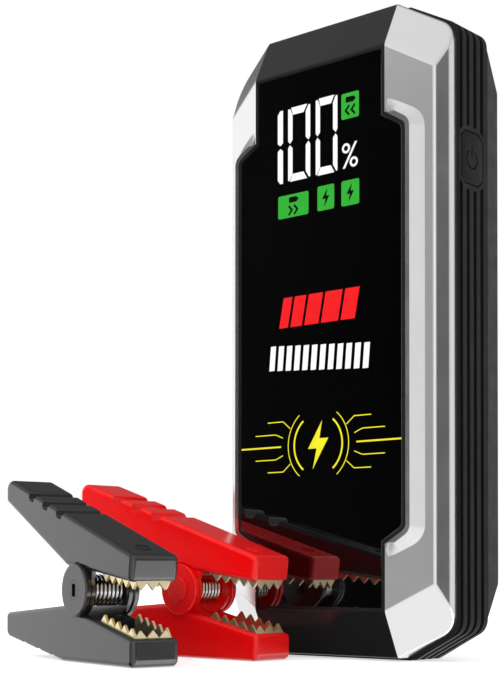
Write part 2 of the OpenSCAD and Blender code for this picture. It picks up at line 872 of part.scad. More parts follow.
module upper_lever(tone) {
    color(tone) difference() {
        union() {
            difference() {
                intersection() {
                    across(-half_w, half_w) polygon(upper_side(0));
                    upper_edges();
                }
                across(-inner_w + 0.5, inner_w - 0.5) upper_inside();
                both_sides(cheek_out, half_w + 1) pivot_circle(ear_r + ear_gap);
            }
            both_sides(cheek_in, cheek_out) {
                pivot_circle(cheek_r);
                polygon([[-cheek_r * 0.9, pivot_z + 3], [cheek_r * 0.9, pivot_z + 3],
                    [cheek_r * 1.2, upper_edge(cheek_r * 1.2) + 4], [-cheek_r, pivot_z + ear_r + 5]]);
            }
        }
        across(-far, far) pivot_circle(pin_r + pin_gap);
        across(-half_w - 1, half_w + 1)
            translate([grip_x, upper_back(grip_x)]) rotate(-back_slope)
                grips(grip_t, grip_w);
    }
}

// Round long edges along the sloped back of the upper lever
module upper_edges() {
    translate([jaw_l, 0, upper_back(jaw_l)]) rotate([0, back_slope, 0])
        soft_bar(-far, 10, -far, 0, lever_edge_r);
}

module upper_inside() {
    polygon([[jaw_l - floor_t + 0.7, 0], [jaw_l - floor_t + 0.7, upper_back(jaw_l) - floor_t],
        [grip_end, upper_back(grip_end) - floor_t],
        [grip_end, upper_back(grip_end) - floor_t - grip_t],
        [floor_t - handle_l + 8, upper_back(floor_t - handle_l + 8) - floor_t - grip_t],
        [floor_t - handle_l + 8, 0]]);
}

// ---------------------------------------------------------------- toothed plates

plate_w = inner_w - 0.1;
plate_tip = jaw_l - floor_t + 0.6;

// Side wall of the lower plate: a zigzag edge that follows the jaw
function tooth_edge(base, slope) =
    [for (i = [0 : 2 * tooth_n])
        let (x = plate_tip - i * tooth_pitch / 2)
        [x, base + (jaw_l - x) * tan(slope) + (i % 2) * tooth_h]];

module lower_plate_side() {
    back = plate_tip - tooth_n * tooth_pitch;
    polygon(concat(tooth_edge(lower_tip_h + 0.1, lower_slope), [[back, floor_t], [plate_tip, floor_t]]));
}

// The tip wall: whole teeth across the width
module tip_teeth(low, edge, up) {
    pitch = 2 * plate_w / tip_tooth_n;
    polygon(concat(
        [for (i = [0 : 2 * tip_tooth_n]) [i * pitch / 2 - plate_w, edge + (i % 2) * up * tooth_h]],
        [[plate_w, low], [-plate_w, low]]));
}

module lower_jaw() {
    color("#c9a85c") {
        both_sides(plate_w - plate_t, plate_w) lower_plate_side();
        translate([plate_tip - plate_t, 0, 0]) rotate([90, 0, 90]) linear_extrude(plate_t)
            tip_teeth(floor_t, lower_edge(plate_tip), 1);
        translate([plate_tip - tooth_n * tooth_pitch, -plate_w, floor_t])
            cube([tooth_n * tooth_pitch, 2 * plate_w, plate_t]);
    }
}

upper_plate_w = inner_w - 0.6;

module upper_jaw() {
    rise = 6;
    back = plate_tip - tooth_n * tooth_pitch;
    color("#c9a85c") {
        both_sides(upper_plate_w - plate_t, upper_plate_w) polygon(concat(
            [for (i = [0 : 2 * tooth_n])
                let (x = plate_tip - i * tooth_pitch / 2)
                [x, upper_edge(x) - 0.1 - (i % 2) * tooth_h]],
            [[back, upper_edge(back) + rise], [plate_tip, upper_edge(plate_tip) + rise]]));
        translate([plate_tip - plate_t, 0, 0]) rotate([90, 0, 90]) linear_extrude(plate_t)
            upper_tip_teeth(upper_edge(plate_tip) + rise);
        across(-upper_plate_w, upper_plate_w) polygon([
            [plate_tip, upper_edge(plate_tip) + rise], [back, upper_edge(back) + rise],
            [back, upper_edge(back) + rise - plate_t], [plate_tip, upper_edge(plate_tip) + rise - plate_t]]);
    }
}

module upper_tip_teeth(high) {
    pitch = 2 * upper_plate_w / tip_tooth_n;
    polygon(concat(
        [for (i = [0 : 2 * tip_tooth_n])
            [i * pitch / 2 - upper_plate_w, upper_edge(plate_tip) - 0.1 - (i % 2) * tooth_h]],
        [[upper_plate_w, high], [-upper_plate_w, high]]));
}

// ---------------------------------------------------------------- pivot pins

module pivot_pin() {
    head_t = 0.8;
    color("#55585c") difference() {
        union() {
            across(-ear_out - head_t, ear_out + head_t) pivot_circle(pin_r);
            both_sides(ear_out, ear_out + head_t) pivot_circle(pin_r + 1.2);
        }
        both_sides(ear_out, ear_out + head_t + 1)
            translate([-1.3, pivot_z - 2.2]) square([2.6, 4.4]);
    }
}

// ---------------------------------------------------------------- springs

rings = 8;
sides = 6;
// The wire leaves the curls towards the handles, a leg at each end
turn_start = -70;
turn_end = 50 + 360 * coil_n;
ring_n = ceil((turn_end - turn_start) / 360 * rings);
coil_half = cheek_in - wire_d / 2 - 0.25;

function spin(i) = turn_start + (turn_end - turn_start) * i / ring_n;
function coil_mid(i) =
    [coil_r * cos(spin(i)), -coil_half + 2 * coil_half * i / ring_n, pivot_z + coil_r * sin(spin(i))];
// Middle of ring i: the legs run straight on from the first and last curl
function wire_mid(i) =
    i < 0 ? coil_mid(0) + leg_l * [sin(turn_start), 0, -cos(turn_start)]
    : i > ring_n ? coil_mid(ring_n) + leg_l * [-sin(turn_end), 0, cos(turn_end)]
    : coil_mid(i);
function wire_ring(i) =
    let (t = spin(min(max(i, 0), ring_n)), m = wire_mid(i))
    [for (k = [0 : sides - 1])
        let (a = 360 * k / sides)
        m + wire_d / 2 * [cos(a) * cos(t), sin(a), cos(a) * sin(t)]];

wire_points = [for (i = [-1 : ring_n + 1]) each wire_ring(i)];
wire_last = ring_n + 2;
wire_faces = concat(
    [for (j = [0 : wire_last - 1], k = [0 : sides - 1]) each
        let (a = j * sides + k, b = j * sides + (k + 1) % sides)
        [[a, b, a + sides], [b, b + sides, a + sides]]],
    [for (k = [1 : sides - 2]) [0, k + 1, k]],
    [for (k = [1 : sides - 2]) [0, k, k + 1] + wire_last * sides * [1, 1, 1]]);

// Least distance between the skins of curls that lie side by side
least_gap = min([for (j = [1 : wire_last - rings - 1], s = [-1 : 1], k = [0 : sides - 1], m = [0 : sides - 1])
    let (q = j + rings + s)
    if (q < wire_last) norm(wire_points[j * sides + k] - wire_points[q * sides + m])]);
echo(least_gap_of_spring_to_itself = least_gap);

module spring() {
    color("#d0d3d6") polyhedron(wire_points, wire_faces);
}

// ---------------------------------------------------------------- both clamps

module black_stand() {
    translate([black_place[0], black_place[1], 0]) rotate(black_turn) children();
}

module red_stand() {
    translate([red_place[0], red_place[1], 0]) rotate(red_turn) children();
}

module black_lower_lever() { black_stand() lower_lever("#3a3a3a"); }
module black_upper_lever() { black_stand() upper_lever("#3a3a3a"); }
module black_lower_jaw() { black_stand() lower_jaw(); }
module black_upper_jaw() { black_stand() upper_jaw(); }
module black_spring() { black_stand() spring(); }
module black_pivot_pin() { black_stand() pivot_pin(); }
module red_lower_lever() { red_stand() lower_lever("#e00000"); }
module red_upper_lever() { red_stand() upper_lever("#e00000"); }
module red_lower_jaw() { red_stand() lower_jaw(); }
module red_upper_jaw() { red_stand() upper_jaw(); }
module red_spring() { red_stand() spring(); }
module red_pivot_pin() { red_stand() pivot_pin(); }

front_shell();
left_trim();
right_trim();
display_glass();
display_module();
ribbed_band();
back_shell();
case_screws();
power_button();
button_switch();
port_cover();
cover_pin();
port_bezel();
output_socket();
socket_contacts();
usb_a_port();
usb_c_port();
torch_window();
torch_board();
battery_cells();
main_board();
black_lower_lever();
black_upper_lever();
black_lower_jaw();
black_upper_jaw();
black_spring();
black_pivot_pin();
red_lower_lever();
red_upper_lever();
red_lower_jaw();
red_upper_jaw();
red_spring();
red_pivot_pin();
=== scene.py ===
"""Finishes and fine forms of a jump starter pack with two battery clamps."""

import math

import bmesh
import bpy
from mathutils import Matrix, Vector


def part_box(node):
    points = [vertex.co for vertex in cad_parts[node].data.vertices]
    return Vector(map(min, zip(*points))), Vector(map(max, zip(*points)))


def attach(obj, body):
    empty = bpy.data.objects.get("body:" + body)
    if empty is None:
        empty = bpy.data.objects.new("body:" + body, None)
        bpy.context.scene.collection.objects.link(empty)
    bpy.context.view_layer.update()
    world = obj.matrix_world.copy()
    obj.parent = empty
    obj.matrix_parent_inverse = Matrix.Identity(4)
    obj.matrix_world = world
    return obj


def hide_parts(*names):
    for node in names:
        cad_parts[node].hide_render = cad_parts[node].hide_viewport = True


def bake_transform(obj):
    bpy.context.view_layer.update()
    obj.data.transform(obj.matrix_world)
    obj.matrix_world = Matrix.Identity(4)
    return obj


bl_info = {
    "name": "Jump starter pack",
    "version": (1, 0, 0),
    "blender": (4, 5, 0),
    "location": "3D View > Sidebar > Starter",
    "description": "Builds the looks of a jump starter pack round its packed parts",
    "category": "Object",
}

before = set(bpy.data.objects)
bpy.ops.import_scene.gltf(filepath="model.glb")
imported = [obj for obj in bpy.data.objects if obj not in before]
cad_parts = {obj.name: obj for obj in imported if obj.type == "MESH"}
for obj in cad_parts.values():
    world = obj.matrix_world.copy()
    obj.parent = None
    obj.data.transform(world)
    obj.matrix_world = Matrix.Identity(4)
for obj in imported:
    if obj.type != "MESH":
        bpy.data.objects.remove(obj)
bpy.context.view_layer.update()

MM = 0.001
# Corners nearer than this are one, and faces that meet at less than this are flat
WELD = 2e-6
FLAT = math.radians(0.6)

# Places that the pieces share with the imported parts, in metres
FRONT_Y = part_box("left_trim")[0].y
GLASS_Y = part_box("display_glass")[0].y
SIDE_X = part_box("ribbed_band")[1].x
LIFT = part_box("left_trim")[0].z
BUTTON_LOW, BUTTON_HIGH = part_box("power_button")
BUTTON_MID = (BUTTON_LOW + BUTTON_HIGH) / 2

# Where each clamp stands: its pivot's place on the surface and its turn
CLAMPS = {
    "black": (Vector((-50 * MM, -81 * MM, 0)), math.radians(-14)),
    "red": (Vector((-46 * MM, -36 * MM, 0)), math.radians(-2.4)),
}


# ------------------------------------------------------------------ settings


def colour_setting(name, description, default):
    return bpy.props.FloatVectorProperty(name=name, description=description, default=default,
                                         subtype="COLOR", min=0, max=1)


class PackLook(bpy.types.PropertyGroup):
    frame_colour: colour_setting(
        "Frame", "Colour of the black front frame", (0.0095, 0.0095, 0.0098))
    silver_colour: colour_setting(
        "Silver", "Colour of the silver trims", (0.745, 0.75, 0.75))
    rubber_colour: colour_setting(
        "Rubber", "Colour of the rubber band", (0.0095, 0.0095, 0.0098))
    shell_colour: colour_setting(
        "Back shell", "Colour of the back shell", (0.0095, 0.0095, 0.0098))
    edge_radius: bpy.props.FloatProperty(
        name="Edge radius", description="Radius of the moulded edges",
        default=0.6 * MM, min=0.1 * MM, max=1.2 * MM, unit="LENGTH")
    crease_radius: bpy.props.FloatProperty(
        name="Crease radius", description="Width of the rounding between the silver facets",
        default=0.8 * MM, min=0.2 * MM, max=1.2 * MM, unit="LENGTH")


class PanelLook(bpy.types.PropertyGroup):
    digit_colour: colour_setting(
        "Digits", "Colour of the charge reading", (1.0, 1.0, 1.0))
    tile_colour: colour_setting(
        "Tiles", "Colour of the status tiles", (0.03, 0.445, 0.033))
    red_colour: colour_setting(
        "Red print", "Colour of the red print", (0.86, 0.006, 0.008))
    line_colour: colour_setting(
        "Line print", "Colour of the line print", (0.9, 0.82, 0.02))


class ClampLook(bpy.types.PropertyGroup):
    black_colour: colour_setting(
        "Black clamp", "Colour of the black clamp", (0.013, 0.013, 0.0134))
    red_colour: colour_setting(
        "Red clamp", "Colour of the red clamp", (0.86, 0.003, 0.004))
    edge_radius: bpy.props.FloatProperty(
        name="Edge radius", description="Radius of the levers' outer edges",
        default=1.7 * MM, min=0.2 * MM, max=1.8 * MM, unit="LENGTH")
    wire_sides: bpy.props.IntProperty(
        name="Wire sides", description="Facets round the spring wire",
        default=12, min=6, max=24)


class StageLook(bpy.types.PropertyGroup):
    floor_size: bpy.props.FloatProperty(
        name="Floor", description="Side of the floor", default=9.0, min=2, unit="LENGTH")


def look(group):
    """The settings of a group, as they are in the scene."""
    return getattr(bpy.context.scene, group)


# ------------------------------------------------------------------ finishes


def range_node(tree, source, low, high, from_low=0.0, from_high=1.0):
    """The source's range turned into low to high, which are numbers or what other nodes give."""
    node = tree.nodes.new("ShaderNodeMapRange")
    for key, value in (("From Min", from_low), ("From Max", from_high),
                       ("To Min", low), ("To Max", high)):
        if isinstance(value, (int, float)):
            node.inputs[key].default_value = value
        else:
            tree.links.new(value, node.inputs[key])
    tree.links.new(source, node.inputs["Value"])
    return node.outputs["Result"]


class Finish:
    """A material's nodes, added one by one."""

    def __init__(self, name):
        self.material = bpy.data.materials.new(name)
        self.material.use_nodes = True
        self.tree = self.material.node_tree
        self.nodes, self.links = self.tree.nodes, self.tree.links
        self.shader = self.nodes["Principled BSDF"]
        self.place = self.add("ShaderNodeTexCoord").outputs["Object"]

    def add(self, kind, **settings):
        node = self.nodes.new(kind)
        for key, value in settings.items():
            setattr(node, key, value)
        return node

    def noise(self, scale, detail=3.0, stretch=(1, 1, 1)):
        """A noise of so many spots a metre, stretched along the axes."""
        mapping = self.add("ShaderNodeMapping")
        mapping.inputs["Scale"].default_value = stretch
        self.links.new(self.place, mapping.inputs["Vector"])
        texture = self.add("ShaderNodeTexNoise")
        texture.inputs["Scale"].default_value = scale
        texture.inputs["Detail"].default_value = detail
        self.links.new(mapping.outputs["Vector"], texture.inputs["Vector"])
        return texture.outputs["Fac"]

    def between(self, source, low, high, from_low=0.3, from_high=0.7):
        return range_node(self.tree, source, low, high, from_low, from_high)

    def tones(self, source, dark, light, low=0.3, high=0.7):
        """A colour between dark and light, led by the source."""
        ramp = self.add("ShaderNodeValToRGB")
        ramp.color_ramp.elements[0].position = low
        ramp.color_ramp.elements[1].position = high
        ramp.color_ramp.elements[0].color = (*dark, 1)
        ramp.color_ramp.elements[1].color = (*light, 1)
        self.links.new(source, ramp.inputs["Fac"])
        return ramp.outputs["Color"]

    def lighter_edges(self, colour, edge_colour, share):
        """The colour, lighter by a share where edges stand out."""
        edge = self.between(self.add("ShaderNodeNewGeometry").outputs["Pointiness"],
                            0, share, 0.53, 0.62)
        mix = self.add("ShaderNodeMix", data_type="RGBA")
        mix.inputs["B"].default_value = (*edge_colour, 1)
        self.links.new(edge, mix.inputs["Factor"])
        self.links.new(colour, mix.inputs["A"])
        return mix.outputs["Result"]

    def bump(self, height, strength, distance):
        node = self.add("ShaderNodeBump")
        node.inputs["Strength"].default_value = strength
        node.inputs["Distance"].default_value = distance
        self.links.new(height, node.inputs["Height"])
        return node.outputs["Normal"]

    def set(self, **values):
        for key, value in values.items():
            self.shader.inputs[key.replace("_", " ")].default_value = value

    def lead(self, key, source):
        self.links.new(source, self.shader.inputs[key])


def shade(colour, factor):
    """The colour made lighter or darker by a factor."""
    return tuple(min(1.0, c * factor) for c in colour)


def moulded(name, colour, rough=(0.30, 0.42), grain=2600, depth=0.03, edge_lift=0.15,
            specular=0.5, spread=0.10, ior=1.5):
    """Moulded plastic: grain, slow changes of tone and faintly lighter edges."""
    f = Finish(name)
    slow = f.noise(24, 4)
    colour_out = f.tones(slow, shade(colour, 1 - spread), shade(colour, 1 + spread))
    edge_colour = tuple(min(1.0, c * 1.25 + 0.012) for c in colour)
    # Edges that stand out, found by pointiness, are given a lighter colour
    f.lead("Base Color", f.lighter_edges(colour_out, edge_colour, edge_lift))
    f.lead("Roughness", f.between(f.noise(160, 5), *rough))
    f.lead("Normal", f.bump(f.noise(grain, 2), depth, 0.05 * MM))
    f.set(Specular_IOR_Level=specular, IOR=ior)
    return f.material


def metal(name, colour, rough=(0.18, 0.32), grain=1800, depth=0.05, spread=0.08):
    """Bare or plated metal with a drawn or ground surface."""
    f = Finish(name)
    f.lead("Base Color", f.tones(f.noise(60, 4), shade(colour, 1 - spread), shade(colour, 1 + spread)))
    lines = f.noise(grain)
    f.lead("Roughness", f.between(lines, *rough))
    f.lead("Normal", f.bump(lines, depth, 0.03 * MM))
    f.set(Metallic=1.0)
    return f.material


def silver_paint(colour):
    """Fine silver paint: flakes, an even sheen and a thin clear coat."""
    f = Finish("silver_paint")
    flakes = f.noise(5200, 2)
    f.lead("Base Color", f.tones(flakes, shade(colour, 0.95), shade(colour, 1.05), 0.25, 0.75))
    f.lead("Roughness", f.between(f.noise(90, 4), 0.17, 0.21))
    f.lead("Normal", f.bump(flakes, 0.012, 0.02 * MM))
    f.set(Metallic=0.95, Coat_Weight=0.1, Coat_Roughness=0.15)
    return f.material


def black_glass():
    """The polished panel, which mirrors what stands in front of it."""
    f = Finish("display_glass")
    smears = f.noise(30, 6, (1, 1, 0.4))
    f.lead("Base Color", f.tones(smears, (0.0008, 0.0008, 0.001), (0.0014, 0.0014, 0.0016)))
    f.lead("Roughness", f.between(smears, 0.012, 0.03))
    f.lead("Normal", f.bump(f.noise(12, 2), 0.004, 0.1 * MM))
    f.set(IOR=2.9)
    return f.material


def lit_print(name, colour, glow):
    """A lit segment or bright print: glow is the share of its brightness that it gives off itself."""
    f = Finish(name)
    even = f.noise(300, 3)
    body = shade(colour, 1.02 - glow)
    f.lead("Base Color", f.tones(even, shade(body, 0.9), body))
    f.lead("Emission Color", f.tones(even, shade(colour, 0.93), colour))
    f.lead("Roughness", f.between(even, 0.4, 0.55))
    f.lead("Normal", f.bump(f.noise(900, 2), 0.02, 0.01 * MM))
    f.set(Emission_Strength=glow, Specular_IOR_Level=0.2)
    return f.material


# ------------------------------------------------------------------ mesh tools


def cad_form(node):
    """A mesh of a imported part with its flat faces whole."""
    form = bmesh.new()
    form.from_mesh(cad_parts[node].data)
    bmesh.ops.remove_doubles(form, verts=form.verts, dist=WELD)
    bmesh.ops.dissolve_limit(form, angle_limit=FLAT, verts=form.verts, edges=form.edges)
    form.normal_update()
    return form


def hard_edges(form, least, test):
    """Edges whose faces meet at an angle of at least so many degrees, and that pass the test."""
    return [edge for edge in form.edges if len(edge.link_faces) == 2
            and math.degrees(edge.calc_face_angle(0)) >= least and test(edge)]


def moved(form, matrix):
    bmesh.ops.transform(form, matrix=matrix, verts=form.verts)
    return form


def skin(form, rows, ends=True):
    """Faces round a row of rings of points, closed at both ends if wanted."""
    for a, b in zip(rows, rows[1:]):
        for k in range(len(a)):
            m = (k + 1) % len(a)
            form.faces.new((a[k], a[m], b[m], b[k]))
    if ends:
        form.faces.new(rows[0])
        form.faces.new(rows[-1][::-1])


def as_object(form, name="solid"):
    mesh = bpy.data.meshes.new(name)
    form.to_mesh(mesh)
    form.free()
    solid = bpy.data.objects.new(name, mesh)
    bpy.context.scene.collection.objects.link(solid)
    return solid


def round_edges(form, edges, radius, steps):
    """Rounds the edges and keeps the mesh clean."""
    if edges:
        bmesh.ops.bevel(form, geom=edges, offset=radius, offset_type="OFFSET",
                        segments=steps, profile=0.5, affect="EDGES", clamp_overlap=True,
                        loop_slide=True, material=-1)
        bmesh.ops.remove_doubles(form, verts=form.verts, dist=WELD)
        form.normal_update()


def make_piece(name, form, material, body, smooth=32.0, stands_for=(), flat=None):
    """Turns a mesh into a shown piece that rides on a body, if one is given;
    faces of more than flat square mm stay flat."""
    bmesh.ops.recalc_face_normals(form, faces=form.faces)
    piece = as_object(form, name)
    mesh = piece.data
    mesh.materials.append(material)
    mesh.shade_smooth()
    mesh.set_sharp_from_angle(angle=math.radians(smooth))
    if flat:
        for face in mesh.polygons:
            face.use_smooth = face.area < flat * MM * MM
    weigh = piece.modifiers.new("Weighted normals", "WEIGHTED_NORMAL")
    weigh.keep_sharp = True
    if body:
        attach(piece, body)
    if stands_for:
        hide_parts(*stands_for)
    return piece


def soft_copy(node, material, body, test, radius, steps, least):
    """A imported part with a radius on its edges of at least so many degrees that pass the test."""
    form = cad_form(node)
    round_edges(form, hard_edges(form, least, test), radius, steps)
    return make_piece(node + "_form", form, material, body, stands_for=(node,))


def dress(node, material):
    """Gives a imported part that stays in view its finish."""
    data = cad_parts[node].data
    data.materials.clear()
    data.materials.append(material)


def plate(form, outline, y_front, y_back):
    """A flat plate on the front: outline points (x, z) in millimetres, thick from y_front to y_back."""
    skin(form, [[form.verts.new((x * MM, y, z * MM)) for x, z in outline] for y in (y_front, y_back)])


def ring(form, x, z, outer, inner, y_front, y_back, start=0.0, end=360.0, steps=40):
    """A flat ring or arc on the front, in millimetres and degrees."""
    closed = abs(end - start) >= 360
    count = steps if closed else steps + 1
    rows = []
    for i in range(count):
        a = math.radians(start + (end - start) * i / steps)
        rows.append([
            form.verts.new(((x + r * math.cos(a)) * MM, y, (z + r * math.sin(a)) * MM))
            for r, y in ((outer, y_front), (inner, y_front), (inner, y_back), (outer, y_back))])
    skin(form, rows + rows[:1] if closed else rows, ends=not closed)


def line_outline(points, width):
    """The outline of a bent line of a width, in millimetres."""
    left, right = [], []
    for i, (x, z) in enumerate(points):
        before = points[max(i - 1, 0)]
        after = points[min(i + 1, len(points) - 1)]
        ways = []
        for p, q in ((before, (x, z)), ((x, z), after)):
            dx, dz = q[0] - p[0], q[1] - p[1]
            size = math.hypot(dx, dz)
            if size > 1e-9:
                ways.append((-dz / size, dx / size))
        nx, nz = sum(w[0] for w in ways), sum(w[1] for w in ways)
        size = math.hypot(nx, nz)
        nx, nz = nx / size, nz / size
        grow = width / 2 / max(0.4, nx * ways[0][0] + nz * ways[0][1])
        left.append((x + nx * grow, z + nz * grow))
        right.append((x - nx * grow, z - nz * grow))
    return left + right[::-1]


# ------------------------------------------------------------------ solids


def rounded(points, radii, steps=6):
    """A closed outline with each corner rounded by its own radius."""
    outline, count = [], len(points)
    for i, radius in enumerate(radii):
        a, b, c = (Vector(points[k % count]) for k in (i - 1, i, i + 1))
        if radius <= 0:
            outline.append(tuple(b))
            continue
        u, v = (a - b).normalized(), (c - b).normalized()
        half = u.angle(v) / 2
        mid = b + (u + v).normalized() * radius / math.sin(half)
        start, end = (b + way * radius / math.tan(half) - mid for way in (u, v))
        turn = math.atan2(start.y, start.x)
        sweep = (math.atan2(end.y, end.x) - turn + math.pi) % math.tau - math.pi
        for k in range(steps + 1):
            t = turn + sweep * k / steps
            outline.append((mid.x + radius * math.cos(t), mid.y + radius * math.sin(t)))
    return outline


def box_outline(x0, z0, x1, z1, radius=0.0):
    """The outline of a box with round corners, in millimetres."""
    return rounded([(x0, z0), (x1, z0), (x1, z1), (x0, z1)], [radius] * 4, 4)


def circle(x, z, radius, steps=48):
    turns = [math.tau * k / steps for k in range(steps)]
    return [(x + radius * math.cos(t), z + radius * math.sin(t)) for t in turns]


def drawn_in(outline, depth):
    """An outline with every side moved inwards by a depth."""
    area = sum(a[0] * b[1] - b[0] * a[1] for a, b in zip(outline, outline[1:] + outline[:1]))
    side = 1 if area > 0 else -1
    moved = []
    count = len(outline)
    for i in range(count):
        before, here, after = (Vector(outline[k % count]) for k in (i - 1, i, i + 1))
        ways = [(q - p).normalized() for p, q in ((before, here), (here, after))]
        m, n = (Vector((-w.y, w.x)) * side for w in ways)
        moved.append(tuple(here + (m + n) * depth / max(0.3, 1 + m.dot(n))))
    return moved


def pillow(outline, low, high, soft=0.0, steps=4):
    """A solid of an outline (x, z) from y = low to y = high, with its long edges rounded."""
    layers = [(low, 0.0), (high, 0.0)]
    if soft:
        turns = [math.pi / 2 * k / steps for k in range(steps + 1)]
        front = [(low + soft * (1 - math.cos(t)), soft * (1 - math.sin(t))) for t in turns]
        layers = front + [(low + high - y, inset) for y, inset in reversed(front)]
    form = bmesh.new()
    rows = [[form.verts.new((x, y, z)) for x, z in drawn_in(outline, inset)] for y, inset in layers]
    skin(form, rows)
    bmesh.ops.recalc_face_normals(form, faces=form.faces)
    return form


def cut_past(form, point, normal):
    """Takes away all that lies past a plane and closes the cut."""
    cut = bmesh.ops.bisect_plane(form, geom=form.verts[:] + form.edges[:] + form.faces[:],
                                 plane_co=point, plane_no=normal, clear_outer=True)
    edges = [e for e in cut["geom_cut"] if isinstance(e, bmesh.types.BMEdge)]
    if edges:
        bmesh.ops.contextual_create(form, geom=edges)


def work(body, operation, form):
    """Joins a solid to an object's mesh or cuts it away, and makes its modifiers part of the mesh."""
    tool = as_object(form)
    change = body.modifiers.new("Solid", "BOOLEAN")
    change.operation, change.object, change.solver = operation, tool, "EXACT"
    graph = bpy.context.evaluated_depsgraph_get()
    made = bpy.data.meshes.new_from_object(body.evaluated_get(graph))
    body.modifiers.clear()
    body.data = made
    bpy.data.objects.remove(tool)


def combine(form, *steps):
    """Joins or cuts a solid: steps are (operation, other solid)."""
    body = as_object(form)
    for operation, other in steps:
        work(body, operation, other)
    result = bmesh.new()
    result.from_mesh(body.data)
    bpy.data.objects.remove(body)
    return result


# ------------------------------------------------------------------ the pack


# The front housing in millimetres: its outline, and the depths and heights of its facets
HOUSING = {"side": 49.75, "flat": 30.0, "height": 230.0, "drop": 10.5, "corner": 9.0, "depth": 15.2,
           "slope_h": 16.2, "slope_d": 7.7, "facet_d": 5.7, "facet_x": 47.15, "facet_drop": 25.7,
           "rim": 11.3}
# The glass, narrow at its ends and wide in the middle: half widths, heights and corner radius
GLASS = {"narrow": 28.6, "wide": 37.2, "end": 17.6, "start": 40.8, "rise": 5.2, "corner": 2.4}
# Beside the glass: the black rim's width and depth, and with it the silver band before the slope
RIM, RIM_DEPTH, BAND = 1.45, 1.2, 3.2


def on_front(form, back=False):
    """Moves a solid drawn in millimetres, with its depth along y, to the front of the pack, or back."""
    place = Matrix.Translation((0, FRONT_Y, LIFT)) @ Matrix.Scale(MM, 4)
    return moved(form, place.inverted() if back else place)


def cross_outline(narrow, wide, end, start, rise, corner):
    """Narrow at the ends and wide in the middle, as the frame, its glass and the step are."""
    a, b = end, start
    c, d = HOUSING["height"] - b, HOUSING["height"] - a
    return rounded(
        [(narrow, a), (narrow, b), (wide, b + rise), (wide, c - rise), (narrow, c), (narrow, d),
         (-narrow, d), (-narrow, c), (-wide, c - rise), (-wide, b + rise), (-narrow, b), (-narrow, a)],
        [0, 0, corner, corner, 0, 0, 0, 0, corner, corner, 0, 0], 8)


def housing_solid(soft):
    """The whole front housing as one solid, with its creases rounded."""
    h = HOUSING
    z = h["height"]
    outline = [(h["flat"], 0), (h["side"], h["drop"]), (h["side"], z - h["drop"]), (h["flat"], z)]
    outline = outline + [(-x, zz) for x, zz in reversed(outline)]
    form = pillow(rounded(outline, [0, h["corner"], h["corner"], 0] * 2, 10), 0, h["depth"])
    for sx in (-1, 1):
        cut_past(form, (sx * h["flat"], 0, 0), (sx * h["facet_d"], h["flat"] - h["facet_x"], 0))
        cut_past(form, (sx * h["facet_x"], h["facet_d"], 0),
                 (sx * (h["rim"] - h["facet_d"]), h["facet_x"] - h["side"], 0))
    for end, up in ((z, 1), (0, -1)):
        cut_past(form, (0, h["slope_d"], end), (0, -h["slope_h"], up * h["slope_d"]))
        for sx in (-1, 1):
            foot = Vector((sx * h["flat"], 0, end - up * h["slope_h"]))
            rise = Vector((0, h["slope_d"], up * h["slope_h"]))
            run = Vector((sx * (h["facet_x"] - h["flat"]), h["facet_d"],
                          up * (h["slope_h"] - h["facet_drop"])))
            cut_past(form, foot, rise.cross(run) * (-sx * up))
    bmesh.ops.remove_doubles(form, verts=form.verts, dist=0.002)
    form.normal_update()
    creases = hard_edges(form, 9, lambda e: min(v.co.y for v in e.verts) < h["depth"] - 0.1
                         and max(abs(v.co.x) for v in e.verts) > h["flat"] + 0.1)
    round_edges(form, creases, soft, 4)
    return form


def glass_offset(out, narrow, corner):
    """The glass's wings moved outwards, from the half width narrow at their ends."""
    lean = GLASS["rise"] / (GLASS["wide"] - GLASS["narrow"])
    wide = GLASS["wide"] + out
    start = GLASS["start"] - out * math.hypot(1, lean) + (narrow - GLASS["narrow"]) * lean
    return cross_outline(narrow, wide, start - 1, start, (wide - narrow) * lean, corner)


def rim_solid(front):
    """The space of the black rim and all within it, from a depth to its back."""
    return pillow(glass_offset(RIM, 29.0, 3), front, RIM_DEPTH)


class STARTER_OT_front_frame(bpy.types.Operator):
    """The black front frame: a rim round the glass, with the slopes above and below it"""

    bl_idname = "starter.front_frame"
    bl_label = "Front frame"

    def execute(self, context):
        pack = look("starter_pack")
        finish = moulded("black_frame", pack.frame_colour, (0.16, 0.22), 3000, 0.01, 0.1)

        def on_slopes(edge):
            """The edges of the black slopes, in front, at both ends of the pack."""
            ends = [v.co for v in edge.verts]
            up = ((ends[0].z + ends[1].z) / 2 - LIFT) / MM
            past = HOUSING["slope_h"] + 0.8
            return (max(abs(p.x) for p in ends) < (HOUSING["flat"] + 0.3) * MM
                    and min(p.y for p in ends) < FRONT_Y + 9 * MM
                    and not past < up < HOUSING["height"] - past)

        form = cad_form("front_shell")
        round_edges(form, hard_edges(form, 20, on_slopes), 0.35 * MM, 2)
        form = combine(on_front(form, True), ("UNION", rim_solid(0)),
                       ("DIFFERENCE", pillow(cross_outline(**GLASS), -1, 0.8)))
        make_piece("front_shell_form", on_front(form), finish, "pack", 30,
                   ("front_shell",), 30)
        return {"FINISHED"}


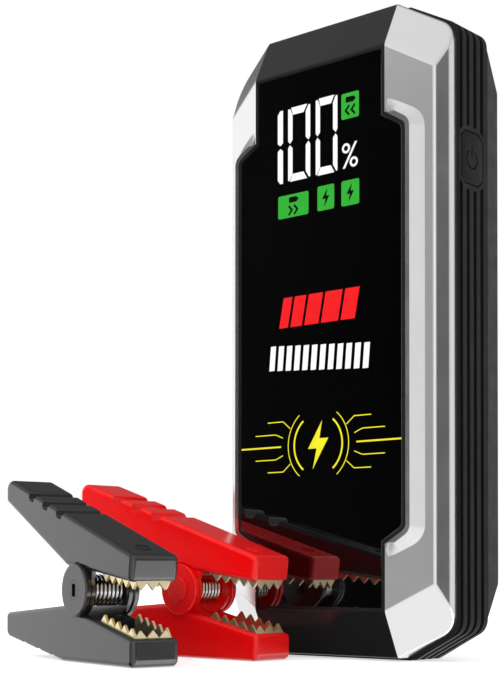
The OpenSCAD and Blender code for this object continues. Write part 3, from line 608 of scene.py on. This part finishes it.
def raised_border(sx):
    """The trim's flat band round the rim and the slope from it down to the facet."""
    flat, cuts, back = HOUSING["flat"], 8, 6
    lean = HOUSING["facet_d"] / (HOUSING["facet_x"] - flat)
    top = glass_offset(BAND, flat, 4.2)
    foot = cross_outline(flat, 43.8, -1, 34.2, 7.4, 8)
    sides = []
    for outline in (top, foot):
        half = outline[1:len(outline) // 2 - 1]
        points = []
        for a, b in zip(half, half[1:]):
            parts = cuts if min(abs(a[0] - flat), abs(b[0] - flat)) < 0.01 else 1
            points += [tuple(Vector(a).lerp(Vector(b), k / parts)) for k in range(parts)]
        sides.append(points + [half[-1]])
    form = bmesh.new()
    rows = []
    for (x, z), (foot_x, foot_z) in zip(*sides):
        under = (foot_x - flat) * lean + 0.05
        rows.append([form.verts.new(p) for p in (
            (sx * (flat - 0.5), 0.1, z), (sx * x, 0.1, z), (sx * foot_x, under, foot_z),
            (sx * foot_x, back, foot_z), (sx * (flat - 0.5), back, foot_z))])
    skin(form, rows, ends=False)
    for a, b, c, d, e in (rows[0], rows[-1][::-1]):
        for face in ((a, b, c), (a, c, e), (c, d, e)):
            form.faces.new(face)
    bmesh.ops.triangulate(form, faces=form.faces)
    bmesh.ops.recalc_face_normals(form, faces=form.faces)
    return form


class STARTER_OT_trims(bpy.types.Operator):
    """The two silver trims: their facets, the band beside the glass and the slope down from it"""

    bl_idname = "starter.trims"
    bl_label = "Silver trims"

    def execute(self, context):
        pack = look("starter_pack")
        finish = silver_paint(pack.silver_colour)
        height, flat, far, over = HOUSING["height"], HOUSING["flat"], 99, 9
        # The hollow behind the trims
        inside = box_outline(-44.25, 20.2, 44.25, height - 20.2)
        for side, sx in (("left", -1), ("right", 1)):
            # All but this side of the front housing
            rest = [(-sx * far, -over), (sx * flat, -over),
                    (sx * flat, height + over), (-sx * far, height + over)]
            form = combine(
                housing_solid(pack.crease_radius / MM), ("UNION", raised_border(sx)),
                ("DIFFERENCE", pillow(rest, -over, 30)), ("DIFFERENCE", rim_solid(-over)),
                ("DIFFERENCE", pillow(inside, 8, 30)))
            make_piece(side + "_trim_form", on_front(form), finish, "pack", 24,
                       (side + "_trim",), 60)
        return {"FINISHED"}


class STARTER_OT_glass(bpy.types.Operator):
    """The black glass"""

    bl_idname = "starter.glass"
    bl_label = "Glass"

    def execute(self, context):
        soft_copy("display_glass", black_glass(), "pack",
                  lambda e: all(abs(v.co.y - GLASS_Y) < 1e-5 for v in e.verts), 0.15 * MM, 2, 40)
        return {"FINISHED"}


def make_print(name, form, material):
    """A thin print drawn in millimetres from the housing's lower end, set on the glass."""
    bmesh.ops.translate(form, vec=(0, 0, LIFT), verts=form.verts)
    return make_piece(name, form, material, "pack", smooth=20)


# Strokes of a digit in its box, as (x0, z0, x1, z1) shares, with a cut at both ends
DIGIT = {
    "top": ((0.14, 1.0), (0.86, 1.0), (0.70, 0.90), (0.22, 0.90)),
    "bottom": ((0.22, 0.10), (0.70, 0.10), (0.86, 0.0), (0.08, 0.0)),
    "left_up": ((0.0, 0.985), (0.0, 0.555), (0.08, 0.515), (0.20, 0.56), (0.20, 0.90), (0.10, 0.985)),
    "left_down": ((0.0, 0.455), (0.0, 0.015), (0.06, 0.015), (0.20, 0.10), (0.20, 0.45), (0.08, 0.495)),
    "right_up": ((0.80, 0.90), (0.80, 0.56), (0.92, 0.515), (1.0, 0.555), (1.0, 0.985), (0.92, 0.985)),
    "right_down": ((0.80, 0.45), (0.80, 0.10), (0.94, 0.015), (1.0, 0.015), (1.0, 0.455), (0.92, 0.495)),
}


class STARTER_OT_reading(bpy.types.Operator):
    """The charge reading on the display: a number of strokes and a percent sign"""

    bl_idname = "starter.reading"
    bl_label = "Charge reading"

    def execute(self, context):
        form = bmesh.new()
        y0, y1 = GLASS_Y - 0.05 * MM, GLASS_Y + 0.05 * MM
        for x0, z0, x1, z1 in ((-14.1, 173.0, -3.6, 200.1), (-1.0, 172.9, 9.0, 200.7)):
            for stroke in DIGIT.values():
                plate(form, [(x0 + u * (x1 - x0), z0 + v * (z1 - z0)) for u, v in stroke], y0, y1)
        # The one: an upper and a lower stroke
        x0, z0, x1, z1 = -19.1, 172.9, -16.6, 199.9
        for end, way in ((z1, 1), (z0, -1)):
            point, cut = (z0 + z1) / 2 + 0.5 * way, 1.4 * way
            plate(form, [(x0, point + cut * 0.7), (x0, end - cut), (x0 + 1.2, end), (x1, end),
                         (x1, point + cut * 0.7), ((x0 + x1) / 2, point)], y0, y1)
        # The percent sign
        plate(form, [(11.4, 173.3), (12.4, 173.3), (17.9, 182.2), (16.9, 182.2)], y0, y1)
        ring(form, 12.9, 180.4, 1.8, 0.95, y0, y1)
        ring(form, 16.4, 175.1, 1.8, 0.95, y0, y1)
        make_print("charge_reading", form, lit_print("reading", look("starter_panel").digit_colour, 0.95))
        return {"FINISHED"}


class STARTER_OT_tiles(bpy.types.Operator):
    """The green status tiles with their signs"""

    bl_idname = "starter.tiles"
    bl_label = "Status tiles"

    def execute(self, context):
        y0, y1 = GLASS_Y - 0.04 * MM, GLASS_Y + 0.05 * MM
        tiles, signs = bmesh.new(), bmesh.new()
        top = y0 - 0.03 * MM
        boxes = ((10.8, 190.8, 18.7, 200.0), (-18.9, 159.9, -4.4, 168.3),
                 (-0.2, 160.0, 7.5, 168.9), (10.8, 159.9, 18.8, 168.9))
        for x0, z0, x1, z1 in boxes:
            plate(tiles, box_outline(x0, z0, x1, z1, 0.7), y0, y1)
        # A battery over a double arrow on the first two tiles, a bolt on the others
        for (x0, z0, x1, z1), way in zip(boxes, (-1, 1, 0, 0)):
            x, z = (x0 + x1) / 2, (z0 + z1) / 2
            if way:
                plate(signs, box_outline(x - 2.0, z + 1.2, x + 1.8, z + 3.2, 0.3), top, y1)
                plate(signs, box_outline(x + 1.8, z + 1.7, x + 2.4, z + 2.7), top, y1)
                for shift in (-1.3, 1.3):
                    px = x + way * shift
                    plate(signs, line_outline([(px - way * 0.9, z + 0.1), (px + way * 0.7, z - 1.6),
                                               (px - way * 0.9, z - 3.3)], 0.8), top, y1)
            else:
                plate(signs, [(x + 0.8, z + 3.3), (x - 1.7, z - 0.4), (x - 0.1, z - 0.4),
                              (x - 0.8, z - 3.3), (x + 1.7, z + 0.6), (x + 0.2, z + 0.6)], top, y1)
        panel = look("starter_panel")
        make_print("status_tiles", tiles, lit_print("status_green", panel.tile_colour, 0.9))
        make_print("status_signs", signs, moulded("sign_black", (0.001, 0.002, 0.001), specular=0.05))
        return {"FINISHED"}


class STARTER_OT_print(bpy.types.Operator):
    """The print on the panel: a red battery row, a white level row and yellow lines"""

    bl_idname = "starter.print"
    bl_label = "Panel print"

    def execute(self, context):
        y0, y1 = GLASS_Y - 0.03 * MM, GLASS_Y + 0.05 * MM
        red, white, yellow = bmesh.new(), bmesh.new(), bmesh.new()
        # Red: slanted blocks of growing length
        x, lean = -18.4, 2.2
        for w in (4.2, 5.4, 6.6, 7.8, 6.4):
            plate(red, [(x, 119.6), (x + w, 119.6), (x + w + lean, 130.6), (x + lean, 130.6)], y0, y1)
            x += w + 1.2
        # White: a row of upright level bars
        for i in range(12):
            x = -23.2 + i * 3.95
            low = 104.3 - 0.25 * i
            plate(white, [(x, low), (x + 2.5, low), (x + 3.3, low + 9.0), (x + 0.8, low + 9.0)], y0, y1)
        # Yellow: arcs and rays round a bolt
        mid = 76
        for r, w in ((11.5, 0.7), (14.2, 0.35)):
            for start, end in ((-52, 52), (128, 232)):
                ring(yellow, 0, mid, r, r - w, y0, y1, start, end, 28)
        for sx in (-1, 1):
            for dz, x0, x1, w in ((0, 17.5, 37.0, 0.6), (4.6, 16.6, 30.0, 0.35), (-4.6, 16.6, 30.0, 0.35),
                                  (9.2, 13.0, 24.0, 0.35), (-9.2, 13.0, 24.0, 0.35)):
                ray = [(sx * x0, mid + dz * 0.7), (sx * (x0 + 3.5), mid + dz), (sx * x1, mid + dz)]
                plate(yellow, line_outline(ray, w), y0, y1)
        bolt = [(1.9, 84.6), (-4.6, 74.6), (-0.6, 74.6), (-2.4, 67.2), (4.8, 78.2), (0.7, 78.2)]
        plate(yellow, bolt, y0, y1)
        panel = look("starter_panel")
        for name, form, colour in (("red_print", red, panel.red_colour),
                                   ("white_print", white, (0.95, 0.95, 0.95)),
                                   ("yellow_print", yellow, panel.line_colour)):
            make_print(name, form, lit_print(name, colour, 0.45))
        return {"FINISHED"}


class STARTER_OT_band(bpy.types.Operator):
    """The grooved rubber band round the sides"""

    bl_idname = "starter.band"
    bl_label = "Rubber band"

    def execute(self, context):
        colour = look("starter_pack").rubber_colour
        finish = moulded("black_rubber", colour, (0.48, 0.62), 3600, 0.06, 0.2, 0.15, 0.14)
        soft_copy("ribbed_band", finish, "pack", lambda e: True, 0.22 * MM, 2, 60)
        return {"FINISHED"}


class STARTER_OT_back(bpy.types.Operator):
    """The back shell and its screws"""

    bl_idname = "starter.back"
    bl_label = "Back shell"

    def execute(self, context):
        pack = look("starter_pack")
        finish = moulded("black_shell", pack.shell_colour, (0.40, 0.52), 2200, 0.12, 0.15, 0.13)
        soft_copy("back_shell", finish, "pack",
                  lambda e: all(v.co.y > 8 * MM for v in e.verts), pack.edge_radius, 3, 12)
        dress("case_screws", metal("zinc_screws", (0.42, 0.43, 0.44), grain=900))
        return {"FINISHED"}


class STARTER_OT_button(bpy.types.Operator):
    """The power button with its engraved sign"""

    bl_idname = "starter.button"
    bl_label = "Power button"

    def execute(self, context):
        finish = moulded("button_black", (0.0075, 0.0075, 0.0078), (0.36, 0.46), 2600, 0.05, 0.15, 0.1)
        piece = soft_copy("power_button", finish, "button",
                          lambda e: all(v.co.x > SIDE_X - 0.01 * MM for v in e.verts), 0.35 * MM, 3, 40)
        # The sign is cut into the cap as a thin groove
        cutter = bmesh.new()
        ring(cutter, 0, 0, 3.5, 2.95, 0, 1 * MM, 118, 422, 44)
        plate(cutter, box_outline(-0.28, 0.6, 0.28, 4.3), 0, 1 * MM)
        turn = Matrix.Translation((SIDE_X - 0.3 * MM, BUTTON_MID.y, BUTTON_MID.z - 0.4 * MM))
        turn = turn @ Matrix.Rotation(math.radians(90), 4, "Z") @ Matrix.Translation((0, -0.7 * MM, 0))
        bmesh.ops.recalc_face_normals(moved(cutter, turn), faces=cutter.faces)
        work(piece, "DIFFERENCE", cutter)
        dress("button_switch", moulded("switch_black", (0.012, 0.012, 0.012)))
        return {"FINISHED"}


class STARTER_OT_ports(bpy.types.Operator):
    """The port cover with its pin, and the ports behind it"""

    bl_idname = "starter.ports"
    bl_label = "Ports"

    def execute(self, context):
        colour = look("starter_pack").rubber_colour
        finish = moulded("cover_rubber", colour, (0.48, 0.6), 3400, 0.06, 0.2, 0.35)
        soft_copy("port_cover", finish, "port_door",
                  lambda e: all(v.co.x < -SIDE_X + 0.01 * MM for v in e.verts), 0.3 * MM, 2, 40)
        dress("cover_pin", metal("pin_steel", (0.55, 0.55, 0.56)))
        dress("port_bezel", moulded("bezel_black", (0.02, 0.02, 0.021), depth=0.06))
        dress("output_socket", moulded("socket_blue", (0.012, 0.09, 0.40), depth=0.05))
        dress("socket_contacts", metal("contact_brass", (0.78, 0.55, 0.22)))
        steel = metal("port_steel", (0.56, 0.56, 0.58))
        for port in ("usb_a_port", "usb_c_port"):
            dress(port, steel)
        return {"FINISHED"}


class STARTER_OT_torch(bpy.types.Operator):
    """The torch window and the board of light emitters behind it"""

    bl_idname = "starter.torch"
    bl_label = "Torch"

    def execute(self, context):
        f = Finish("torch_clear")
        ribs = f.noise(700, 1, (1, 0.02, 0.02))
        f.lead("Base Color", f.tones(ribs, (0.9, 0.93, 0.95), (0.97, 0.98, 1.0)))
        f.lead("Roughness", f.between(ribs, 0.08, 0.22))
        f.lead("Normal", f.bump(ribs, 0.4, 0.2 * MM))
        f.set(Transmission_Weight=0.95, IOR=1.49)
        dress("torch_window", f.material)
        dress("torch_board", moulded("torch_white", (0.8, 0.8, 0.76), depth=0.04))
        return {"FINISHED"}


class STARTER_OT_inside(bpy.types.Operator):
    """The display board, the cells and the circuit board inside the housing"""

    bl_idname = "starter.inside"
    bl_label = "Inside"

    def execute(self, context):
        dress("display_module", moulded("display_board", (0.03, 0.09, 0.05), depth=0.08))
        dress("battery_cells", metal("cell_foil", (0.55, 0.57, 0.6), (0.25, 0.45), grain=500, depth=0.2))
        dress("main_board", moulded("circuit_green", (0.012, 0.12, 0.05), depth=0.08))
        return {"FINISHED"}


# ------------------------------------------------------------------ the clamps


def stand(clamp, scale=1.0):
    """Matrix from a clamp's own lines, with the jaw along x, to its place."""
    place, turn = CLAMPS[clamp]
    return Matrix.Translation(place) @ Matrix.Rotation(turn, 4, "Z") @ Matrix.Scale(scale, 4)


# The levers in millimetres, with the jaw along x and the surface at z = 0: how far the handle and the
# jaw reach from the pivot, the pivot's height, half the width, the wall, and the upper back's slope
HANDLE, JAW, PIVOT, HALF, WALL = 58.5, 38.3, 25.0, 9.0, 2.4
BACK_TURN = math.radians(17.1)
# Radius of the pin, of its hole in the upper lever, and where the lower lever's flat foot ends
PIN, HOLE, FOOT = 3.5, 3.55, -12.5

# How strongly each clamp's plastic mirrors, as its index of refraction
GLOSS = {"black": 1.72, "red": 1.5}
# Which body of a clamp each lever and its jaw ride on
LEVER_BODIES = (("lower", "_clamp"), ("upper", "_clamp_top"))


def lower_edge(x):
    return 9.2 + (JAW - x) * math.tan(math.radians(12.4))


def upper_edge(x):
    return 27.7 + (JAW - x) * math.tan(math.radians(7.6))


def upper_back(x):
    return 36.7 + (JAW - x) * math.tan(BACK_TURN)


def lower_rise(x):
    return max(0.0, (FOOT - x) * math.tan(math.radians(9)))


def grooves(start, end, places, depth, top, foot, soft):
    """Solids of the grooves across a line, at places along it and to its right."""
    start, end = Vector(start), Vector(end)
    along = (end - start).normalized()
    down = Vector((along.y, -along.x))
    shape = ((-top - 1.5, -0.01, 0), (-top, -0.01, soft), (-foot, depth, soft), (foot, depth, soft),
             (top, -0.01, soft), (top + 1.5, -0.01, 0), (top + 1.5, -4, 0), (-top - 1.5, -4, 0))
    solids = []
    for place in places:
        points = [tuple(start + along * (place + across) + down * deep) for across, deep, _ in shape]
        solids.append(pillow(rounded(points, [radius for _, _, radius in shape], 5), -HALF - 1, HALF + 1))
    return solids


def lower_outline(soft):
    return rounded(
        [(FOOT, 0), (JAW, 0), (JAW, lower_edge(JAW)), (9, lower_edge(9)), (-9, lower_edge(9) + 4),
         (-HANDLE, lower_rise(-HANDLE) + 8.8), (-HANDLE, lower_rise(-HANDLE))],
        [0, soft + 0.8, soft, 0, 0, soft, soft + 1.2], 6)


def upper_outline(soft):
    return rounded(
        [(JAW - 1.1, upper_edge(JAW - 1.1)), (JAW, upper_back(JAW)), (-HANDLE, upper_back(-HANDLE) + 0.4),
         (-HANDLE, upper_back(-HANDLE) - 8.6), (-9.5, PIVOT + 8.8), (12, upper_edge(12))],
        [soft, soft + 0.4, soft + 1.6, soft, 0, 0], 6)


def both_sides(y0, y1):
    return (y0, y1), (-y1, -y0)


def upper_lever(soft):
    """The upper lever: a soft-edged bar, hollow inside, with thin cheeks round the pivot."""
    end, ridge, tail = JAW - 1.7, -6, 10.8 - HANDLE
    hollow = [(end, 0), (end, upper_back(JAW) - WALL), (ridge, upper_back(ridge) - WALL),
              (ridge, upper_back(ridge) - WALL - 2.9), (tail, upper_back(tail) - WALL - 2.9), (tail, 0)]
    web = [(-7.9, PIVOT + 3), (7.9, PIVOT + 3), (10.5, upper_edge(10.5) + 4), (-8.8, PIVOT + 14.3)]
    places = [22.4 / math.cos(BACK_TURN) + 11.6 * k for k in range(3)]
    cuts = grooves((-HANDLE, upper_back(-HANDLE) + 0.4), (JAW, upper_back(JAW)), places, 2.9, 2.9, 1.7, 1.0)
    cuts.append(pillow(hollow, -6.6, 6.6))
    cuts += [pillow(circle(0, PIVOT, 9.8), y0, y1) for y0, y1 in both_sides(8.0, 12)]
    steps = [("DIFFERENCE", cut) for cut in cuts]
    for y0, y1 in both_sides(6.6, 8.0):
        steps += [("UNION", pillow(circle(0, PIVOT, 8.8), y0, y1)), ("UNION", pillow(web, y0, y1))]
    steps.append(("DIFFERENCE", pillow(circle(0, PIVOT, HOLE, 32), -12, 12)))
    return combine(pillow(upper_outline(soft), -HALF, HALF, soft, 6), *steps)


def lower_lever(soft):
    """The lower lever: a soft-edged bar, hollow inside, with thick ears round the pivot."""
    end, tail, ear = JAW - 1.7, WALL - HANDLE, 9.3
    hollow = [(FOOT, WALL), (end, WALL), (end, 60), (tail, 60), (tail, lower_rise(tail) + WALL)]
    cuts = grooves((FOOT, 0), (-HANDLE, lower_rise(-HANDLE)), (8.1, 19.7, 31.3), 1.0, 2.5, 1.3, 0.7)
    cuts += [pillow(hollow, -7.1, 7.1), pillow(circle(0, PIVOT, ear), -8.3, 8.3)]
    steps = [("DIFFERENCE", cut) for cut in cuts]
    steps += [("UNION", pillow(circle(0, PIVOT, ear), y0, y1, 0.55)) for y0, y1 in both_sides(8.3, 10.5)]
    inlet = moved(pillow(circle(0, 0, 2.8, 32), -3, 3), Matrix.Translation(
        (-HANDLE, 0, lower_rise(-HANDLE) + WALL + 3.0)) @ Matrix.Rotation(math.radians(90), 4, "Z"))
    steps += [("DIFFERENCE", pillow(circle(0, PIVOT, PIN, 32), -12, 12)), ("DIFFERENCE", inlet)]
    return combine(pillow(lower_outline(soft), -HALF, HALF, soft, 6), *steps)


def pole_sign(clamp):
    """A raised ring with the pole's sign, on the back of the upper lever near the jaw."""
    form = bmesh.new()
    ring(form, 0, 0, 2.9, 2.3, 0, 0.5 * MM, steps=36)
    plate(form, box_outline(-1.4, -0.35, 1.4, 0.35, 0.2), 0, 0.5 * MM)
    if clamp == "red":
        for z0, z1 in ((0.35, 1.4), (-1.4, -0.35)):
            plate(form, box_outline(-0.35, z0, 0.35, z1, 0.1), 0, 0.5 * MM)
    x = JAW - 9
    # The sign is drawn on the front plane, so it is laid back onto the lever's slope
    place = (Matrix.Translation((x * MM, 0, upper_back(x) * MM)) @ Matrix.Rotation(BACK_TURN, 4, "Y")
             @ Matrix.Translation((0, 0, 0.3 * MM)) @ Matrix.Rotation(math.radians(-90), 4, "X"))
    return moved(form, stand(clamp) @ place)


class STARTER_OT_levers(bpy.types.Operator):
    """The moulded levers of both clamps"""

    bl_idname = "starter.levers"
    bl_label = "Clamp levers"

    def execute(self, context):
        clamps = look("starter_clamps")
        soft = clamps.edge_radius / MM
        solids = {"lower": lower_lever(soft), "upper": upper_lever(soft)}
        for clamp in CLAMPS:
            finish = moulded(clamp + "_clamp", getattr(clamps, clamp + "_colour"), (0.17, 0.23), 1600,
                             0.012, 0.08, 0.5, 0.05, GLOSS[clamp])
            for lever, body in LEVER_BODIES:
                form = moved(solids[lever].copy(), stand(clamp, MM))
                node = f"{clamp}_{lever}_lever"
                make_piece(node + "_form", form, finish, clamp + body, 30, (node,), 12)
            make_piece(clamp + "_pole_sign", pole_sign(clamp), finish, clamp + "_clamp_top", 30)
        return {"FINISHED"}


class STARTER_OT_jaws(bpy.types.Operator):
    """The toothed metal plates in the jaws"""

    bl_idname = "starter.jaws"
    bl_label = "Toothed jaws"

    def execute(self, context):
        brass = metal("tooth_brass", (0.93, 0.80, 0.50), (0.28, 0.36), grain=1400, depth=0.01, spread=0.03)
        for clamp in CLAMPS:
            for jaw, body in LEVER_BODIES:
                soft_copy(f"{clamp}_{jaw}_jaw", brass, clamp + body, lambda e: True,
                          0.1 * MM, 2, 40)
        return {"FINISHED"}


class STARTER_OT_springs(bpy.types.Operator):
    """The coil springs, wound from round wire with a leg at each end"""

    bl_idname = "starter.springs"
    bl_label = "Springs"

    def execute(self, context):
        steel = metal("spring_steel", (0.72, 0.72, 0.74), (0.14, 0.24), grain=900)
        sides = look("starter_clamps").wire_sides
        for clamp in CLAMPS:
            form = moved(spring_form(sides), stand(clamp, MM))
            wire = make_piece(clamp + "_spring_wire", form, steel, None, 40,
                              (clamp + "_spring",))
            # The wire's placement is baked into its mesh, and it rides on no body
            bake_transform(wire)
        return {"FINISHED"}


def spring_form(sides):
    """A round wire along the spring's curls, which run on into two straight legs."""
    form = bmesh.new()
    wire_r, coil_r, half, leg, curls = 0.55, 5, 5.8, 22, 7
    start, end = math.radians(-70), math.radians(50 + 360 * curls)
    steps = 24 * curls + 8
    points = []
    for i in range(steps + 1):
        t = start + (end - start) * i / steps
        along = -half + 2 * half * i / steps
        points.append(Vector((coil_r * math.cos(t), along, PIVOT + coil_r * math.sin(t))))
    points.insert(0, points[0] + leg * Vector((math.sin(start), 0, -math.cos(start))))
    points.append(points[-1] + leg * Vector((-math.sin(end), 0, math.cos(end))))
    rows = []
    for i, p in enumerate(points):
        a, b = points[max(i - 1, 0)], points[min(i + 1, len(points) - 1)]
        along = (b - a).normalized()
        out = Vector((p.x, 0, p.z - PIVOT))
        out = (out - along * out.dot(along)).normalized()
        across = along.cross(out)
        rows.append([form.verts.new(p + wire_r * (math.cos(k * math.tau / sides) * out
                                                  + math.sin(k * math.tau / sides) * across))
                     for k in range(sides)])
    skin(form, rows)
    return form


def pin_solid(clamp):
    """A pivot pin: flush with the ears and slotted on the black clamp, with flat heads on the red one."""
    if clamp == "black":
        slot = box_outline(-1.3, PIVOT - 2.2, 1.3, PIVOT + 2.2)
        steps = [("DIFFERENCE", pillow(slot, y0, y1)) for y0, y1 in both_sides(9.0, 12)]
        return combine(pillow(circle(0, PIVOT, PIN), -10.5, 10.5, 0.1, 1), *steps)
    steps = [("UNION", pillow(circle(0, PIVOT, 4.7), y0, y1, 0.3, 3)) for y0, y1 in both_sides(10.48, 11.3)]
    return combine(pillow(circle(0, PIVOT, PIN), -10.8, 10.8), *steps)


class STARTER_OT_pins(bpy.types.Operator):
    """The pivot pins"""

    bl_idname = "starter.pins"
    bl_label = "Pivot pins"

    def execute(self, context):
        clamps = look("starter_clamps")
        for clamp in CLAMPS:
            colour = shade(getattr(clamps, clamp + "_colour"), 0.9)
            finish = moulded(clamp + "_pin", colour, (0.2, 0.3), 1600, 0.02, 0.1, ior=GLOSS[clamp])
            node = clamp + "_pivot_pin"
            make_piece(node + "_form", moved(pin_solid(clamp), stand(clamp, MM)), finish, clamp + "_clamp",
                       40, (node,), 4)
        return {"FINISHED"}


# ------------------------------------------------------------------ the stage


class STARTER_OT_stage(bpy.types.Operator):
    """The pale floor, the soft lights and the camera"""

    bl_idname = "starter.stage"
    bl_label = "Stage"

    def execute(self, context):
        scene = context.scene
        scene.view_settings.view_transform = "Standard"
        set_world(scene)
        lay_floor(look("starter_stage").floor_size)
        soft_light("key_light", (-0.55, -0.75, 0.95), (0, 0, 0.08), 0.9, 9)
        soft_light("fill_light", (0.75, -0.8, 0.35), (0, 0, 0.1), 0.5, 3)
        set_camera(scene)
        return {"FINISHED"}


def math_node(tree, operation, first, second):
    node = tree.nodes.new("ShaderNodeMath")
    node.operation = operation
    tree.links.new(first, node.inputs[0])
    tree.links.new(second, node.inputs[1])
    return node.outputs[0]


# Brightness of the surround for matt surfaces
DIFFUSE_LEVEL = 0.7
# What gloss sees round the studio, at eye level, above and below: (direction in degrees, where -90
# is in front, and brightness)
WALLS = ((-180, 1.2), (-151, 1.2), (-145, 0.02), (-123.5, 0.0), (-119, 1.05), (-101, 0.9), (-95, 0.36),
         (-80, 0.36), (-66, 1.1), (-30, 1.0), (-17, 0.95), (-8, 0.08), (11, 0.08), (25, 0.8), (42, 0.9),
         (95, 0.8), (118, 0.15), (146, 0.15), (158, 1.2), (180, 1.2))
ABOVE = ((-180, 0.38), (-116, 0.3), (-98, 1.0), (-60, 0.85), (-40, 0.85), (20, 0.7), (90, 0.5), (116, 0.1),
         (150, 0.1), (166, 0.38), (180, 0.38))
BELOW = ((-180, 0.9), (-166, 0.5), (-156, 0.03), (-115, 0.03), (-95, 1.08), (-50, 1.14), (-5, 1.0),
         (12, 3.0), (40, 2.6), (60, 1.0), (150, 1.1), (180, 0.9))


def set_world(scene):
    """A white surround for the camera; gloss sees white walls with dark cards between them."""
    world = bpy.data.worlds.new("studio")
    scene.world = world
    world.use_nodes = True
    tree = world.node_tree
    nodes, links = tree.nodes, tree.links

    way = nodes.new("ShaderNodeSeparateXYZ")
    links.new(nodes.new("ShaderNodeTexCoord").outputs["Generated"], way.inputs[0])
    turn = math_node(tree, "ARCTAN2", way.outputs["Y"], way.outputs["X"])
    turn = range_node(tree, turn, 0, 1, -math.pi, math.pi)

    def all_round(stops):
        node = nodes.new("ShaderNodeValToRGB")
        ramp = node.color_ramp
        for k, (angle, level) in enumerate(stops):
            at = (angle + 180) / 360
            stop = ramp.elements[k] if k < 2 else ramp.elements.new(at)
            stop.position, stop.color = at, (level, level, level, 1)
        links.new(turn, node.inputs["Fac"])
        return node.outputs["Color"]

    high = range_node(tree, way.outputs["Z"], 0, 1, 0.37, 0.45)
    low = range_node(tree, way.outputs["Z"], 1, 0, -0.24, -0.14)
    gloss = range_node(tree, high, all_round(WALLS), all_round(ABOVE))
    gloss = range_node(tree, low, gloss, all_round(BELOW))
    path = nodes.new("ShaderNodeLightPath")
    seen = range_node(tree, path.outputs["Is Glossy Ray"], DIFFUSE_LEVEL, gloss)
    for ray in ("Is Camera Ray", "Is Transmission Ray"):
        seen = math_node(tree, "MAXIMUM", seen, path.outputs[ray])
    links.new(seen, nodes["Background"].inputs["Strength"])
    nodes["Background"].inputs["Color"].default_value = (1, 1, 1, 1)


def lay_floor(size):
    form = bmesh.new()
    bmesh.ops.create_grid(form, x_segments=8, y_segments=8, size=size / 2)
    floor = as_object(form, "floor")
    floor.location.z = -0.2 * MM
    floor.visible_glossy = False
    material = bpy.data.materials.new("pale_floor")
    material.use_nodes = True
    tree = material.node_tree
    nodes, links = tree.nodes, tree.links
    shader = nodes["Principled BSDF"]
    shader.inputs["Base Color"].default_value = (0.82, 0.82, 0.82, 1)
    shader.inputs["Roughness"].default_value = 0.9
    shader.inputs["Specular IOR Level"].default_value = 0.1
    glow = nodes.new("ShaderNodeEmission")
    # The floor shines white for rays from the camera, or by way of a mirror or clear glass
    path = nodes.new("ShaderNodeLightPath")
    seen = path.outputs["Is Camera Ray"]
    for ray in ("Is Glossy Ray", "Is Transmission Ray"):
        seen = math_node(tree, "MAXIMUM", seen, path.outputs[ray])
    links.new(range_node(tree, seen, 0.0, 0.6), glow.inputs["Strength"])
    both = nodes.new("ShaderNodeAddShader")
    links.new(shader.outputs[0], both.inputs[0])
    links.new(glow.outputs[0], both.inputs[1])
    links.new(both.outputs[0], nodes["Material Output"].inputs["Surface"])
    floor.data.materials.append(material)


def soft_light(name, place, aim, size, power):
    data = bpy.data.lights.new(name, "AREA")
    data.shape, data.size, data.energy = "SQUARE", size, power
    light = bpy.data.objects.new(name, data)
    light.location = place
    light.rotation_euler = (Vector(aim) - Vector(place)).to_track_quat("-Z", "Y").to_euler()
    light.visible_glossy = False
    bpy.context.scene.collection.objects.link(light)


def set_camera(scene):
    data = bpy.data.cameras.new("camera")
    data.lens, data.sensor_width = 76.33, 36
    data.shift_x, data.shift_y = -0.1002, 0.3101
    camera = bpy.data.objects.new("camera", data)
    camera.location = (0.326014, -0.419820, 0.031316)
    camera.rotation_euler = (math.radians(90.97), 0, math.radians(39.37))
    scene.collection.objects.link(camera)
    scene.camera = camera


# ------------------------------------------------------------------ the add-on

OPERATORS = (
    STARTER_OT_stage, STARTER_OT_front_frame, STARTER_OT_trims, STARTER_OT_glass, STARTER_OT_reading,
    STARTER_OT_tiles, STARTER_OT_print, STARTER_OT_band, STARTER_OT_back, STARTER_OT_button,
    STARTER_OT_ports, STARTER_OT_torch, STARTER_OT_inside, STARTER_OT_levers, STARTER_OT_jaws,
    STARTER_OT_springs, STARTER_OT_pins,
)
GROUPS = {"starter_pack": PackLook, "starter_panel": PanelLook, "starter_clamps": ClampLook,
          "starter_stage": StageLook}


class STARTER_PT_pieces(bpy.types.Panel):
    """The pieces of the jump starter pack"""

    bl_idname = "STARTER_PT_pieces"
    bl_label = "Jump starter pack"
    bl_space_type = "VIEW_3D"
    bl_region_type = "UI"
    bl_category = "Starter"

    def draw(self, context):
        for group, kind in GROUPS.items():
            box = self.layout.box()
            for key in kind.__annotations__:
                box.prop(getattr(context.scene, group), key)
        for operator in OPERATORS:
            self.layout.operator(operator.bl_idname)


def register():
    for kind in (*GROUPS.values(), *OPERATORS, STARTER_PT_pieces):
        bpy.utils.register_class(kind)
    for name, kind in GROUPS.items():
        setattr(bpy.types.Scene, name, bpy.props.PointerProperty(type=kind))


def unregister():
    for name in GROUPS:
        delattr(bpy.types.Scene, name)
    for kind in (STARTER_PT_pieces, *reversed(OPERATORS), *GROUPS.values()):
        bpy.utils.unregister_class(kind)


def main():
    register()
    for operator in OPERATORS:
        group, name = operator.bl_idname.split(".")
        getattr(getattr(bpy.ops, group), name)()


if __name__ == "__main__":
    main()
